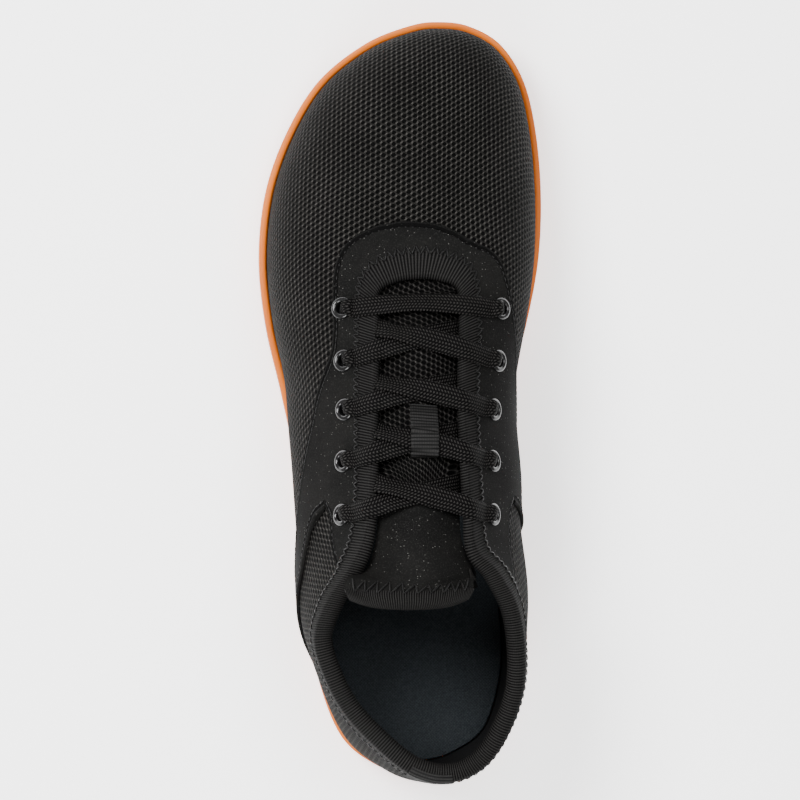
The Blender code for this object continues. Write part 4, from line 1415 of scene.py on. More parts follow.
def make_lugs():
    places, axes = lug_places()
    x, y = places[:, 0], places[:, 1]
    ahead = edge_at(TOE_EDGE, x) - y
    behind = y - edge_at(HEEL_EDGE, x)
    kept = (in_outline(x, y, BAND) > -1.5 * MM) & (ahead > -LUG_REACH) & (behind > -LUG_REACH)
    kept &= ~inside_panel(x, y, -3.0 * MM)
    corners = [inside_panel(x + dx * MM, y + dy * MM, 1.2 * MM)
               for dx in (-4, 0, 4) for dy in (-5, 0, 5)]
    touching = (ahead < LUG_REACH) | (behind < LUG_REACH) | np.any(corners, axis=0)
    whole, crossing = kept & ~touching, kept & touching
    free = copies("tread_lugs", make_lug(), places[whole], axes[whole])
    edged = copies("tread_lugs_cut", make_lug(), places[crossing], axes[crossing])
    cut(edged, tread_field(), "INTERSECT")
    cut(edged, block("panel_space", panel_outline(0.6 * MM), -2 * MM, 4 * MM), "DIFFERENCE")
    for lugs in (free, edged):
        co = vertices_of(lugs)
        # Painted shade: the lugs darken towards their roots in the recess
        mark(lugs, "tone", np.clip((co[:, 2] - LUG_TOP - 0.15 * MM) / RECESS, 0, 1))
        raise_ends(lugs)
        fit(lugs, RUBBER, "gum_rubber", angle=50)
    print("lugs", int(kept.sum()))


make_lugs()

# %% [markdown]
# ## Waves at toe and heel, and the arch panel
# The toe carries soft stepped waves and the heel fine grooves, both parallel to the edge of
# the tread. Each end is a grid from that edge to the smooth band, with a skirt up into the
# rubber. The arch panel is smooth, with a groove and a raised line round it.

# %% Waves
def end_grid(sign, table, wave):
    """Points and depths of one waved end, from the edge of the tread to the smooth band."""
    ring = plan_point(np.linspace(0, 1, 721), np.full(721, BAND - 0.3 * MM))[0]
    half = ring[ring[:, 1] * sign > 0.30 * LENGTH]
    low, high = half[:, 0].min(), half[:, 0].max()
    xs = low + (high - low) * (0.5 - 0.5 * np.cos(np.linspace(0, np.pi, 121)))
    rear = edge_at(table, xs)
    front = np.empty(len(xs))
    for k, x in enumerate(xs):
        nearest = half[np.abs(half[:, 0] - x).argsort()[:6]]
        front[k] = nearest[np.abs(nearest[:, 1]).argmax(), 1]
    kept = (front - rear) * sign > 0.3 * MM
    xs, rear, front = xs[kept], rear[kept], front[kept]
    y = rear + (front - rear) * np.linspace(0, 1, 110)[:, None]
    deep = eased_wave(wave, (y - rear) * sign)
    return np.stack([np.broadcast_to(xs, y.shape), y, 0.02 * MM + deep], axis=-1), deep


def make_ends():
    for name, sign, table, wave in (("toe_waves", 1, TOE_EDGE, toe_wave),
                                    ("heel_waves", -1, HEEL_EDGE, heel_wave)):
        points, deep = end_grid(sign, table, wave)
        if sign > 0:
            points = points[:, ::-1]
        skirted = np.pad(points, ((1, 1), (1, 1), (0, 0)), mode="edge")
        skirted[[0, -1], :, 2] = ROOT_LEVEL
        skirted[:, [0, -1], 2] = ROOT_LEVEL
        piece = mould(name, skirted)
        edit(piece, close_ends, face_out)
        co = vertices_of(piece)
        # Painted shade: the waves darken with the depth of their troughs
        mark(piece, "tone", np.clip(co[:, 2] / deep.max(), 0, 1) * WAVE_SHADE)
        raise_ends(piece)
        fit(piece, RUBBER, "gum_rubber", angle=60)


# %% Arch panel
# Each inset of the panel's face: width and step down or up (mm)
PANEL_STEPS = ((0.20, 0.12), (0.85, 0.0), (0.22, -0.55), (0.35, 0.0), (0.30, 0.40))


def make_panel():
    panel = block("arch_panel", panel_outline(1.3 * MM), ROOT_LEVEL, 0.03 * MM)

    def shape():
        bpy.ops.mesh.select_all(action="DESELECT")
        bpy.ops.object.mode_set(mode="OBJECT")
        lowest = min(panel.data.polygons, key=lambda face: face.center.z)
        lowest.select = True
        bpy.ops.object.mode_set(mode="EDIT")
        for width, step in PANEL_STEPS:
            bpy.ops.mesh.inset(thickness=width * MM, depth=step * MM)
        bpy.ops.mesh.select_all(action="SELECT")

    edit(panel, face_out)
    edit(panel, shape)
    depth = vertices_of(panel)[:, 2] / MM
    # Painted shade: the panel's groove and its step are marked darker
    mark(panel, "tone", np.where(depth > 0.4, 0.9, np.where(depth > 0.05, 0.22, 0.0)))
    fit(panel, RUBBER, "gum_rubber", angle=50)


make_ends()
make_panel()

# %% [markdown]
# ## The insole
# A thin footbed lies on the cup's floor. It is die-cut foam with a woven face and an eased
# edge, so it is a flat outline with a rounded rim that bends up with the sole.

# %% Insole
# Inset of each ring (mm), and its height as a share of the insole's thickness
INSOLE_EDGE = ((0, 0), (0, 0.6), (0.15, 0.8), (0.5, 0.94), (1.1, 1.0), (7, 1.0), (11, 0.90))


def make_insole():
    around = np.linspace(0, 1, 241)
    inset = RIM_THICKNESS + UPPER_WALL + 1.8 * GAP
    rings = []
    for depth, share in INSOLE_EDGE:
        flat = plan_point(around, np.full(around.shape, inset + depth * MM))[0]
        level = np.full(len(flat), SOLE_BASE + GAP + share * INSOLE_THICKNESS)
        rings.append(np.column_stack([flat, level]))
    bed = tube("footbed", np.array(rings))
    edit(bed, cut_across)
    raise_ends(bed)
    fit(bed, FOOTBED, "footbed", "insole")


make_insole()

# %% [markdown]
# ## The tongue
# The tongue starts under the vamp, lies inside the throat and ends free above the collar.
# Its front is open mesh. Its upper half is faced with microfibre, and a ribbed tape binds
# its free edge. All three follow one surface, laid across from side to side of the throat.

# %% Surface of the tongue
TONGUE_THICKNESS = 0.0035
TONGUE_CROWN = 0.0045
TONGUE_RISE = 0.0100
TONGUE_SPARE = 0.0020
TONGUE_FRONT = (0.375, 0.622)
TONGUE_BACK = (0.173, 0.840)
TONGUE_GAP = 0.75 * MM
LACE_ROOM = 2.6 * MM
# Free top: across, half width (of the ball width), along (of the length), height and hang
# (of the instep height)
TONGUE_TOP = ((-0.010, 0.212, -0.235, 1.112, 0.110), (-0.012, 0.198, -0.263, 1.155, 0.080))
TONGUE_ROWS = 141
TONGUE_COLUMNS = 41


def smooth_rows(rows, count):
    """A smooth set of rows through a few given ones."""
    rows = np.asarray(rows)
    table = np.column_stack([np.arange(len(rows)), rows.reshape(len(rows), -1)])
    made = line_table(table, np.linspace(0, len(rows) - 1, count))
    return made.reshape(count, *rows.shape[1:])


def under_wall(around, height, spare=0.0):
    """A point just inside the upper's wall."""
    around, height = np.array(around), np.array(height)
    return skin(around, height, -wall_at(around, height) - TONGUE_GAP - spare)[0]


def throat_row(q):
    """A line across the throat, from its front at 0 to its back at 1."""
    medial = TONGUE_FRONT[0] + (TONGUE_BACK[0] - TONGUE_FRONT[0]) * q
    lateral = TONGUE_FRONT[1] + (TONGUE_BACK[1] - TONGUE_FRONT[1]) * q
    spare = TONGUE_SPARE * smooth_step((q - 0.55) / 0.3)
    room = spare + LACE_ROOM * smooth_step(q / 0.1) * (1 - smooth_step((q - 0.75) / 0.2))
    left, right = (under_wall(edge, 1.0, spare) for edge in (lateral, medial))
    rise = TONGUE_CROWN * smooth_step(q * 3) - 5 * GAP * (1 - smooth_step(q * 6))
    rise += TONGUE_RISE * max(0.0, (q - 0.6) / 0.4)**3
    crown = (left + right) / 2 + np.array([0, 0, rise])
    sunk = np.array([0, 0, room - spare])
    free = smooth_step((q - 0.66) / 0.20) * 0.97
    tucked = [under_wall(edge, 0.94, spare) * (1 - free) + side * free
              for edge, side in ((lateral, left), (medial, right))]
    return smooth_rows([tucked[0] - sunk, left - sunk * 0.9, crown,
                        right - sunk * 0.9, tucked[1] - sunk], TONGUE_COLUMNS)


def free_row(across, half, along, height, hang):
    """A line across the free top, arched down at both sides."""
    u = np.linspace(-1, 1, TONGUE_COLUMNS)
    along = along + 0.012 * np.abs(u)**8 + 0.004 * (1 - u * u) * (along < -0.25)
    return np.stack([(across + half * u) * BALL_WIDTH, along * LENGTH,
                     (height - hang * u * u) * INSTEP_HEIGHT], axis=1)


def tongue_rows():
    """Lines across the tongue, from under the vamp to its free edge."""
    vamp = [under_wall(s, 0.92) - (0, 0, 4 * GAP) for s in np.linspace(0.60, 0.40, 5)]
    rows = [smooth_rows(vamp, TONGUE_COLUMNS)]
    rows += [throat_row(q) for q in np.linspace(0, 1, 11)]
    rows += [free_row(*line) for line in TONGUE_TOP]
    surface = smooth_rows(np.array(rows), TONGUE_ROWS)
    ease = smooth_step((np.linspace(0, 1, TONGUE_ROWS) - 0.55) / 0.12)[:, None, None]
    columns = np.arange(TONGUE_COLUMNS)
    for i, row in enumerate(surface):
        run = run_along(row)
        even = np.interp(np.linspace(0, run[-1], TONGUE_COLUMNS), run, columns)
        spread = np.stack([np.interp(even, columns, values) for values in row.T], axis=1)
        surface[i] = row + ease[i] * (spread - row)
    for _ in range(40):
        beside = (surface[:, :-2] + surface[:, 2:]) / 2
        surface[:, 1:-1] += 0.5 * ease * (beside - surface[:, 1:-1])
    return surface


def tongue_normals(surface):
    out = unit(np.cross(np.gradient(surface, axis=1), np.gradient(surface, axis=0)))
    return out * np.sign(out[..., 2:])


TONGUE_SKIN = tongue_rows()
TONGUE_OUT = tongue_normals(TONGUE_SKIN)
print("tongue length", round(run_along(TONGUE_SKIN[:, TONGUE_COLUMNS // 2])[-1] / MM), "mm")


def tongue_point(row, column, out=0.0):
    """Points on the tongue at rows 0 to 1 along and columns 0 to 1 across."""
    row, column = np.broadcast_arrays(row, column)
    r, c = row * (TONGUE_ROWS - 1), column * (TONGUE_COLUMNS - 1)
    i = np.clip(r.astype(int), 0, TONGUE_ROWS - 2)
    j = np.clip(c.astype(int), 0, TONGUE_COLUMNS - 2)
    u, v = (r - i)[..., None], (c - j)[..., None]
    point, normal = ((grid[i, j] * (1 - u) * (1 - v) + grid[i + 1, j] * u * (1 - v)
                      + grid[i, j + 1] * (1 - u) * v + grid[i + 1, j + 1] * u * v)
                     for grid in (TONGUE_SKIN, TONGUE_OUT))
    return point + normal * np.asarray(out)[..., None]


# %% [markdown]
# The body is a closed pad that follows the whole surface. The facing is a thin sheet on its
# upper half with a curved front edge. The tape wraps the free end, with its ribs in relief.

# %% Pieces of the tongue
FACING_START = 0.682
TAPE_START = 0.930
TONGUE_END = 0.966
TONGUE_CUT = 0.960
TONGUE_RIBS = 60
# Outer side of the tape: share from its border to its end, and how high it stands (mm)
TAPE_SECTION = ((0.0, 0.75), (0.03, 1.2), (0.3, 1.35), (0.6, 1.35), (0.9, 1.25))


def facing_begin(column):
    return FACING_START - 0.022 * (column - 0.45) + 0.03 * np.abs(2 * column - 1)**2


def tape_begin(column):
    return TAPE_START + 0.030 * np.abs(2 * column - 1)**4


def make_tongue_body():
    rows, columns = np.linspace(0, TONGUE_CUT, 110), np.linspace(0, 1, 45)
    rounding = 0.25 * MM * np.abs(2 * columns - 1)**8
    high = tongue_point(rows[:, None], columns, -rounding)
    low = tongue_point(rows[:, None], columns, -TONGUE_THICKNESS)
    rings = np.concatenate([high, low[:, ::-1], high[:, :1]], axis=1)
    across = run_along(high[60])
    along = run_along(high[:, len(columns) // 2])
    flat = paired(np.concatenate([across, across[::-1], across[:1]])[None], along[:, None])
    body = tube("tongue_body", rings, flat)
    return fit(body, TONGUE_KNIT, "microfibre", "tongue", angle=60)


def make_facing():
    columns = np.linspace(0.004, 0.996, 61)
    share = np.linspace(0, 1, 70)[:, None]
    rows = facing_begin(columns) + (TONGUE_CUT - facing_begin(columns)) * share
    out = 0.65 * MM * np.sqrt(smooth_step(share / 0.02))
    points = tongue_point(rows, columns, out)[:, ::-1]
    facing = mould("tongue_facing", points, points[..., :2])
    edit(facing, face_out)
    thicken(facing, 0.6 * MM)
    mark(facing, "edge", np.full(len(facing.data.vertices), 9.0))
    return fit(facing, MICROFIBRE, "microfibre")


def make_tongue_tape():
    columns = np.linspace(0.0, 1.0, TONGUE_RIBS * 4 + 1)
    relief = 0.10 * MM * np.cos(2 * np.pi * TONGUE_RIBS * columns)
    begin = tape_begin(columns)
    rings = [tongue_point(begin + (TONGUE_END - begin) * share, columns, high * MM + relief)
             for share, high in TAPE_SECTION]
    end = tongue_point(TONGUE_END, columns)
    brink = tongue_point(TONGUE_END, columns, -TONGUE_THICKNESS / 2)
    ahead = unit(end - tongue_point(TAPE_START, columns))
    up = unit(tongue_point(TONGUE_END, columns, 1.0) - end)
    high = (TONGUE_THICKNESS / 2 + 1.2 * MM + relief)[:, None]
    for turn in np.linspace(0, np.pi, 11)[1:-1]:
        rings.append(brink + up * math.cos(turn) * high + ahead * math.sin(turn) * (high * 0.55))
    for share in (0.9, 0.5, 0.0):
        rings.append(tongue_point(TAPE_START + (TONGUE_END - TAPE_START) * share, columns,
                                  -TONGUE_THICKNESS - 0.9 * MM - relief))
    run = TONGUE_RIBS * RIB_PITCH * columns
    down = np.arange(len(rings)) * 1.1 * MM
    tape = mould("tongue_binding", np.array(rings), paired(run[None], down[:, None]))
    edit(tape, face_out)
    modify(tape, "SOLIDIFY", thickness=0.6 * MM, offset=-1.0)
    return fit(tape, TAPE, "knit", angle=60)


tongue = [make_tongue_body(), make_facing(), make_tongue_tape()]

# %% [markdown]
# ## Eyelets
# Each eyelet is a turned ring of black enamelled metal: a rolled flange outside and a barrel
# through the layers. The ring is a closed outline spun round its axis. Its seat is found by
# looking straight down at its place, and its tilt from the ground in a circle round it.

# %% Eyelets
EYELETS = (
    (0.117, -0.224, 0.319), (0.050, -0.219, 0.306), (-0.012, -0.217, 0.288),
    (-0.077, -0.223, 0.281), (-0.144, -0.230, 0.278),
)
# Radius at which an eyelet feels the slope below its flange, and radius of its hole
FLANGE = 3.5 * MM
HOLE = 2.3 * MM
# Section of an eyelet: radius and height in mm
EYELET_SECTION = (
    (2.10, 0.15), (2.35, 0.75), (2.95, 1.05), (3.60, 0.85), (4.00, 0.35), (3.95, -0.05),
    (3.40, -0.10), (2.55, -0.20), (2.50, -1.60), (2.45, -3.20), (2.15, -3.20), (2.10, -1.60),
)


def surface_of(pieces):
    """A tree of all faces of some pieces, to find what lies highest at a place."""
    points, faces = [], []
    for piece in pieces:
        start = len(points)
        points += [vertex.co.copy() for vertex in piece.data.vertices]
        faces += [[start + i for i in face.vertices] for face in piece.data.polygons]
    return BVHTree.FromPolygons(points, faces)


def drop_on(tree, x, y):
    """The highest point of the surface at a place, and its direction."""
    point, normal, _, _ = tree.ray_cast(Vector((x, y, 1.0)), Vector((0, 0, -1)))
    return point, normal


def make_eyelet(node, place, turn):
    section = through_points(EYELET_SECTION, 3) * MM
    clear_selection()
    bpy.ops.mesh.primitive_circle_add(vertices=len(section), fill_type="NOTHING")
    ring = bpy.context.object
    ring.name = ring.data.name = f"{node}_metal"
    move_vertices(ring, np.column_stack([section[:, 0], np.zeros(len(section)),
                                         section[:, 1]]))
    modify(ring, "SCREW", steps=40, render_steps=40, use_merge_vertices=True,
           merge_threshold=0.00001)
    edit(ring, weld(1e-5), face_out)
    ring.data.transform(Matrix.Translation(place) @ turn.to_4x4())
    return fit(ring, ENAMEL, "black_metal", node, angle=60)


def make_eyelets(tree):
    seats = {}
    for row, (along, lateral, medial) in enumerate(EYELETS, start=1):
        for side, across in (("lateral", lateral), ("medial", medial)):
            x, y = across * BALL_WIDTH, along * LENGTH
            place, _ = drop_on(tree, x, y)
            around = [drop_on(tree, x + FLANGE * math.cos(k), y + FLANGE * math.sin(k))[0]
                      for k in np.linspace(0, 2 * np.pi, 9)[:-1]]
            normal = sum(((a - place).cross(b - place) for a, b in
                          zip(around, around[1:] + around[:1])), Vector()).normalized()
            turn = Vector((0, 0, 1)).rotation_difference(normal).to_matrix()
            made = make_eyelet(f"eyelet_{side}_{row}", place, turn)
            seats[side, row] = (np.array(place), np.array(normal), made)
    return seats


seats = make_eyelets(surface_of([knit, overlay]))

# %% [markdown]
# The eyelets' holes are cut through knit and overlay, so that their bores look dark. A
# punch makes them on the real shoe, and here a cylinder for each eyelet cuts both sheets.

# %% Holes for the eyelets
def drill(pieces):
    clear_selection()
    punches = []
    for place, normal, _ in seats.values():
        turn = Vector((0, 0, 1)).rotation_difference(Vector(normal))
        bpy.ops.mesh.primitive_cylinder_add(vertices=24, radius=HOLE, depth=9 * MM,
                                            location=place, rotation=turn.to_euler())
        punches.append(bpy.context.object)
    tool = join(punches, "punches")
    bpy.ops.object.transform_apply(location=True, rotation=True, scale=True)
    for piece in pieces:
        modify(piece, "BOOLEAN", object=tool, operation="DIFFERENCE", solver="EXACT")
    bpy.data.objects.remove(tool)


drill([knit, overlay])

# %% [markdown]
# ## The laces
# One flat braid is laced bar first and then criss-cross. Each strand comes up beside the
# tongue, crosses it, climbs the far edge of the throat and dives into its eyelet.
# A taut lace touches only the high places below it, so its height is the upper hull of what
# it lies on. It banks with the instep, and it bunches where it enters a hole.

# %% A taut line over what lies below
LACE_WIDTH = 6.8 * MM
LACE_THICKNESS = 1.6 * MM
EMERGES = 1.15


def upper_hull(at, height):
    """The taut line over some heights."""
    kept = []
    for k in range(len(at)):
        while len(kept) > 1:
            a, b = kept[-2], kept[-1]
            below = (height[b] - height[a]) * (at[k] - at[a])
            if below >= (height[k] - height[a]) * (at[b] - at[a]):
                break
            kept.pop()
        kept.append(k)
    return np.interp(at, at[kept], height[kept])


def ease_line(values, times=6):
    """Softens the corners of a line and keeps its ends."""
    for _ in range(times):
        middle = (values[:-2] + 2 * values[1:-1] + values[2:]) / 4
        values = np.concatenate([values[:1], middle, values[-1:]])
    return values


def laid_line(tree, start, end, width, thickness, count=61, bow=0.0):
    """Middle points and side directions of a strip laid taut over what is below it."""
    share = np.linspace(0, 1, count)
    plan = start + (end - start) * share[:, None]
    plan[:, 1] += bow * np.sin(np.pi * share)
    side = unit(np.array([start[1] - end[1], end[0] - start[0]]))
    across = np.linspace(-0.5, 0.5, 9)
    ground = np.full((count, len(across)), np.nan)
    for k, middle in enumerate(plan):
        for j, u in enumerate(across):
            hit = drop_on(tree, *(middle + side * u * width))[0]
            ground[k, j] = hit.z if hit else np.nan
    ground = np.where(np.isnan(ground), np.nanmax(ground, axis=1, keepdims=True), ground)
    bank = ease_line(((ground - ground.mean(axis=1, keepdims=True)) * across).sum(axis=1)
                     / (across**2).sum(), 14)
    need = (ground - bank[:, None] * across).max(axis=1)
    run = share * np.linalg.norm(end - start)
    level = ease_line(upper_hull(run, need), 8) + thickness / 2 + 0.1 * MM
    sides = unit(np.column_stack([np.tile(side * width, (count, 1)), bank]))
    return np.column_stack([plan, level]), sides


# %% [markdown]
# A strand is a flat ribbon with round edges. Its width shrinks and its thickness grows
# where it dives into an eyelet, as a braid does when it bunches up. A strand beside the
# tongue starts hidden under the wall, where its last eyelet let it through.

# %% A ribbon and a strand
# Share of the lace's width on its way over a flange and down the bore
BUNCHED = [0.86, 0.62, 0.52, 0.50]
FLANGE_ROOM = 3.6 * MM


def ribbon(name, points, sides, widths, thicknesses, roundness=0.45):
    """A flat strip with round edges, swept along a line."""
    ahead = unit(np.gradient(points, axis=0))
    sides = unit(sides - ahead * (sides * ahead).sum(axis=1, keepdims=True))
    up = np.cross(ahead, sides)
    turn = np.linspace(0, 2 * np.pi, 21)
    wide = np.sign(np.cos(turn)) * np.abs(np.cos(turn))**roundness / 2
    high = np.sign(np.sin(turn)) * np.abs(np.sin(turn))**0.8 / 2
    rings = (points[:, None] + sides[:, None] * (widths[:, None] * wide)[..., None]
             + up[:, None] * (thicknesses[:, None] * high)[..., None])
    run = run_along(points)
    print(name, "length", round(run[-1] / MM), "mm")
    return tube(name, rings, paired(run[:, None], (wide * LACE_WIDTH)[None]))


def dive(seat, toward):
    """Points that lead a lace over a flange's edge and down its bore."""
    place, normal, _ = seat
    inward = unit(toward - place - normal * np.dot(toward - place, normal))
    return np.array([place + inward * 3.2 * MM + normal * 1.9 * MM,
                     place + inward * 1.4 * MM + normal * 1.25 * MM,
                     place + inward * 0.35 * MM - normal * 0.6 * MM,
                     place + inward * 0.2 * MM - normal * 2.6 * MM])


def strand(name, tree, start, seat, hidden=None):
    """A lace into an eyelet, from another eyelet or from a place beside the tongue.

    A strand from beside the tongue also has a hidden start, under the wall."""
    from_eyelet = hidden is None
    plan_start, plan_end = start[0][:2] if from_eyelet else start, seat[0][:2]
    way = unit(plan_end - plan_start) * FLANGE_ROOM
    laid, sides = laid_line(tree, plan_start + way if from_eyelet else plan_start, plan_end - way,
                            LACE_WIDTH, LACE_THICKNESS, bow=(1.8 if from_eyelet else 0.7) * MM)
    if from_eyelet:
        first, narrow = dive(start, laid[0])[::-1], BUNCHED[::-1]
    else:
        first = np.array([hidden, (hidden + laid[0]) / 2 - (0, 0, 0.9 * MM)])
        narrow = [0.7, 0.92]
    middle, middle_sides = laid[::4], sides[::4]
    points = np.concatenate([first, middle, dive(seat, laid[-1])])
    spread = 1.0 + 0.12 * np.sin(np.linspace(0, np.pi, len(middle)))
    widths = np.concatenate([narrow, spread, BUNCHED])
    all_sides = np.concatenate([np.tile(middle_sides[0], (len(first), 1)), middle_sides,
                                np.tile(middle_sides[-1], (len(BUNCHED), 1))])
    run = run_along(points)
    at = np.linspace(0, run[-1], 120)
    fine = line_table(np.column_stack([run, points]), at)
    fine_sides = unit(line_table(np.column_stack([run, all_sides]), at))
    wide = ease_line(np.interp(at, run, widths), 3)
    thick = LACE_THICKNESS * (1 + 1.1 * np.maximum(0, 1 - wide))
    return ribbon(name, fine, fine_sides, wide * LACE_WIDTH, thick)


# %% Lacing
def throat_edge(side, row):
    """Plan place just inside the throat's edge, a little behind an eyelet row."""
    along = EYELETS[row - 1][0] - EMERGES * LACE_WIDTH / LENGTH
    around = np.linspace(0.19, 0.36, 200) if side == "medial" else np.linspace(0.81, 0.64, 200)
    points = ribs_of_last(around, 1.0)
    best = points[np.abs(points[:, 1] - along * LENGTH).argmin()]
    inward = 0.038 * BALL_WIDTH * (-1 if side == "medial" else 1)
    return np.array([best[0] + inward, along * LENGTH])


def hidden_start(side, row):
    """Where a strand leaves its last eyelet, under the wall beside the throat."""
    place, normal, _ = seats[side, row]
    aside = -2 * MM if side == "medial" else 2 * MM
    return place - normal * 4.4 * MM + np.array([aside, -4 * MM, 0])


def make_laces():
    ground = [knit, overlay, binding, *tongue, *(seat[2] for seat in seats.values())]
    bar = strand("lace_bar", surface_of(ground), seats["lateral", 1], seats["medial", 1])
    fit(bar, BRAID, "braid", "lace_bar_1", angle=60)
    laces = [bar]
    for row in range(2, 6):
        under = strand("lower_strand", surface_of(ground + laces), throat_edge("medial", row - 1),
                       seats["lateral", row], hidden_start("medial", row - 1))
        over = strand("upper_strand", surface_of(ground + laces + [under]),
                      throat_edge("lateral", row - 1), seats["medial", row],
                      hidden_start("lateral", row - 1))
        crossing = join([under, over], f"lace_cross_{row}")
        laces.append(fit(crossing, BRAID, "braid", f"lace_crossing_{row}", angle=60))
    return ground, laces


ground, laces = make_laces()

# %% [markdown]
# ## The lace keeper
# A short band of ribbed webbing is sewn across the tongue, and the fourth crossing runs
# under it. Its ribs run across the band, so they are modelled as steps along it.

# %% Lace keeper
KEEPER_WIDTH = 9.8 * MM
KEEPER_LENGTH = 17.5 * MM
KEEPER_THICKNESS = 1.0 * MM
# Across as a share of the ball width, and its front end as a share of the length
KEEPER_PLACE = (0.043, -0.007)


def make_keeper():
    start = np.array([KEEPER_PLACE[0] * BALL_WIDTH, KEEPER_PLACE[1] * LENGTH])
    points, sides = laid_line(surface_of(ground + laces), start, start - (0, KEEPER_LENGTH),
                              KEEPER_WIDTH, KEEPER_THICKNESS, 121)
    run = np.linspace(0, KEEPER_LENGTH, len(points))
    relief = 0.14 * MM * np.cos(2 * np.pi * run / WEBBING_RIB)
    from_end = np.minimum(run, KEEPER_LENGTH - run)
    width = KEEPER_WIDTH * (0.97 + 0.03 * smooth_step(from_end / (0.6 * MM)))
    band = ribbon("keeper_band", points, sides, width, KEEPER_THICKNESS + relief, roundness=0.18)
    fit(band, WEBBING_CLOTH, "webbing", "lace_keeper", angle=70)


make_keeper()

# %% [markdown]
# ## The heel tab
# Webbing is sewn to the back of the heel and folded over the collar's edge. It lies close
# to the knit, steps up onto the ribbed binding, and its outer half of the fold ends sunk
# in the binding's roll, where the collar hides the seam.

# %% Heel tab
TAB_WIDTH = 14 * MM
TAB_REACH = 19 * MM


def make_tab():
    length = length_at(0.0)
    beside = ribs_of_last(np.array([-0.004, 0.004]), 0.96)
    half = 0.004 * TAB_WIDTH / np.linalg.norm(beside[1] - beside[0])
    columns = np.linspace(-half, half, 29)
    rows = []
    for reach in np.linspace(TAB_REACH, 0, 40):
        cover = 1 - smooth_step((reach - TAPE_OUT + 0.4 * MM) / (1.2 * MM))
        rows.append(skin(columns, 1 - reach / length, 0.45 * MM + 0.95 * MM * cover)[0])
    turns = np.linspace(0, 0.45 * np.pi, 15)[1:]
    sink = 0.9 * MM * smooth_step((turns / np.pi - 0.40) / 0.05)
    rows += over_edge(columns, turns, TAPE_LIFT + RIB_RELIEF + 0.35 * MM - sink)
    points = np.array(rows)
    run = run_along(points[:, 14])
    rise = 0.12 * MM * np.cos(2 * np.pi * run / WEBBING_RIB)
    out = unit(np.cross(np.gradient(points, axis=1), np.gradient(points, axis=0)))
    points = points + out * rise[:, None, None]
    print("heel tab length", round(run[-1] / MM), "mm")
    tab = mould("heel_tab_webbing", points,
                paired(run[:, None], np.linspace(0, TAB_WIDTH, 29)[None]))
    edit(tab, face_out)
    thicken(tab, 0.9 * MM)
    fit(tab, WEBBING_CLOTH, "webbing", "heel_tab", angle=70)


make_tab()

# %% [markdown]
# ## Stitching
# One stitch is a small stretched bead of thread. It is copied along each seam: straight
# rows beside the overlay's edge, a zigzag over the edge of the binding, and on the tongue
# a wide zigzag over its tape and a dashed row behind the facing's front edge.

# %% One stitch and a seam
STITCH_PITCH = 2.4 * MM
STITCH_SHARE = 0.70


def stitch_model(thick):
    """A bead one millimetre long, lying along X."""
    clear_selection()
    bpy.ops.mesh.primitive_uv_sphere_add(segments=6, ring_count=5, radius=0.5)
    bead = bpy.context.object
    edit(bead, lambda: bpy.ops.transform.rotate(value=math.pi / 2, orient_axis="Y",
                                                center_override=(0, 0, 0)))
    move_vertices(bead, vertices_of(bead) * np.array([1.0, thick, thick]) * MM)
    return bead


def sew(name, starts, ends, ups, thick, cover):
    """Stitches between pairs of points, as one mesh."""
    span = ends - starts
    along = unit(span)
    side = unit(np.cross(ups, along))
    up = np.cross(along, side)
    length = np.linalg.norm(span, axis=1) * cover / MM
    axes = np.stack([along * length[:, None], side, up], axis=1)
    piece = copies(name, stitch_model(thick), (starts + ends) / 2, axes)
    return fit(piece, THREAD, "microfibre", angle=80)


def row_of_stitches(name, places, out):
    """Straight stitches along a line of places on the upper."""
    around, height = places.T
    line = skin(around, height, out)[0]
    run, index = run_along(line), np.arange(len(line))
    at = np.interp(np.arange(int(run[-1] / STITCH_PITCH)) * STITCH_PITCH, run, index)
    step = STITCH_SHARE * STITCH_PITCH / np.diff(run).mean()

    def spot(k):
        return skin(np.interp(k, index, around), np.interp(k, index, height), out)

    starts, ups = spot(at)
    return sew(name, starts, spot(at + step)[0], ups, 0.5, 1.0)


# %% Seams
def inside_edge(edge, inset):
    """A cut edge moved onto the overlay by a distance, as places around and up."""
    scale = np.column_stack([np.full(len(edge), EDGE_RUN[-1] * 0.8), length_at(edge[:, 0])])
    ahead = unit(np.gradient(edge, axis=0) * scale)
    inward = np.column_stack([-ahead[:, 1], ahead[:, 0]])
    return edge + inward * inset / scale


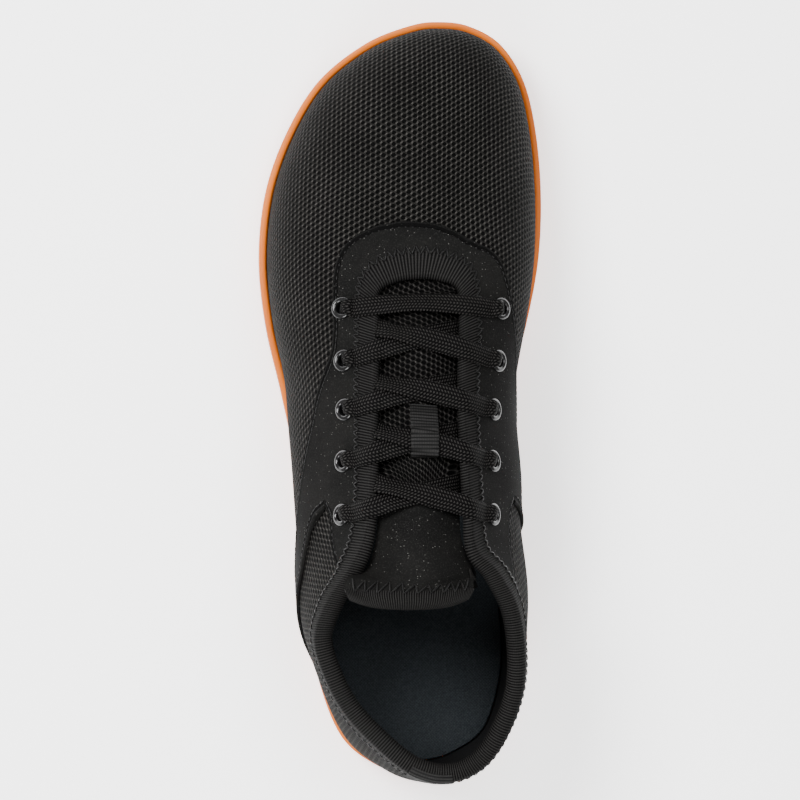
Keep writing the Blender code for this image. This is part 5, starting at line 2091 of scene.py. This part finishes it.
def sew_overlay():
    front, rear = cut_edge()
    edges = ((front[60:-60], 1), (rear[0], -1), (rear[1], 1), (rear[2], 1), (rear[3], -1))
    for k, (edge, side) in enumerate(edges, start=1):
        line = inside_edge(edge, STITCH_INSET * side)
        line = line[(line[:, 1] > 0.03) & (line[:, 1] < 0.90)]
        if len(line) > 8:
            row_of_stitches(f"overlay_stitches_{k}", line, OVERLAY_LIFT + 0.02 * MM)


def sew_binding():
    """A zigzag over the outer border of the binding."""
    run = binding_run[-1]
    count = 2 * round(run / (2.6 * MM))
    places = np.interp(np.arange(count + 1) / count * run, binding_run, binding_places)
    on_tape = np.arange(count + 1) % 2 == 0
    reach = np.where(on_tape, TAPE_OUT - 1.6 * MM, TAPE_OUT + 0.9 * MM)
    covered = (places > TAIL_SPAN[0]) & (places < 0.841)
    below = np.where(covered, OVERLAY_LIFT + 0.25 * MM, 0.55 * MM)
    out = np.where(on_tape, TAPE_LIFT + RIB_RELIEF + 0.30 * MM, below)
    points, ups = skin(places, 1 - reach / length_at(places), out)
    sew("binding_zigzag", points[:-1], points[1:], ups[:-1], 0.62, 0.97)


def sew_tongue():
    """A wide zigzag over the tape, and a dashed row behind the facing's front edge."""
    place = np.linspace(0.05, 0.95, 21)
    on_tape = np.arange(len(place)) % 2 == 1
    row = tape_begin(place) + np.where(on_tape, 0.014, -0.034)
    peaks = tongue_point(row, place, np.where(on_tape, 1.95, 1.45) * MM)
    ups = unit(tongue_point(row, place, 2.0 * MM) - tongue_point(row, place))
    sew("tongue_zigzag", peaks[:-1], peaks[1:], ups[:-1], 0.62, 0.98)
    place = np.linspace(0.08, 0.92, 21)
    row = facing_begin(place) + 0.020
    starts = tongue_point(row, place, 0.95 * MM)
    ends = tongue_point(row, place + 0.024, 0.95 * MM)
    sew("tongue_dashes", starts, ends, np.tile([0.0, 0.0, 1.0], (len(starts), 1)), 0.5, 0.9)


sew_overlay()
sew_binding()
sew_tongue()

# %% [markdown]
# ## Sizes of the plain and the dressed shoe
# The bounds of the dressed shoe are printed beside those of the plain model it covers.

# %% Sizes before and after
visual_box = [list(corner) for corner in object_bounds()]
for name, box in (("plain", cad_box), ("dressed", visual_box)):
    print(name, [round((high - low) / MM, 1) for low, high in zip(*box)], "mm")
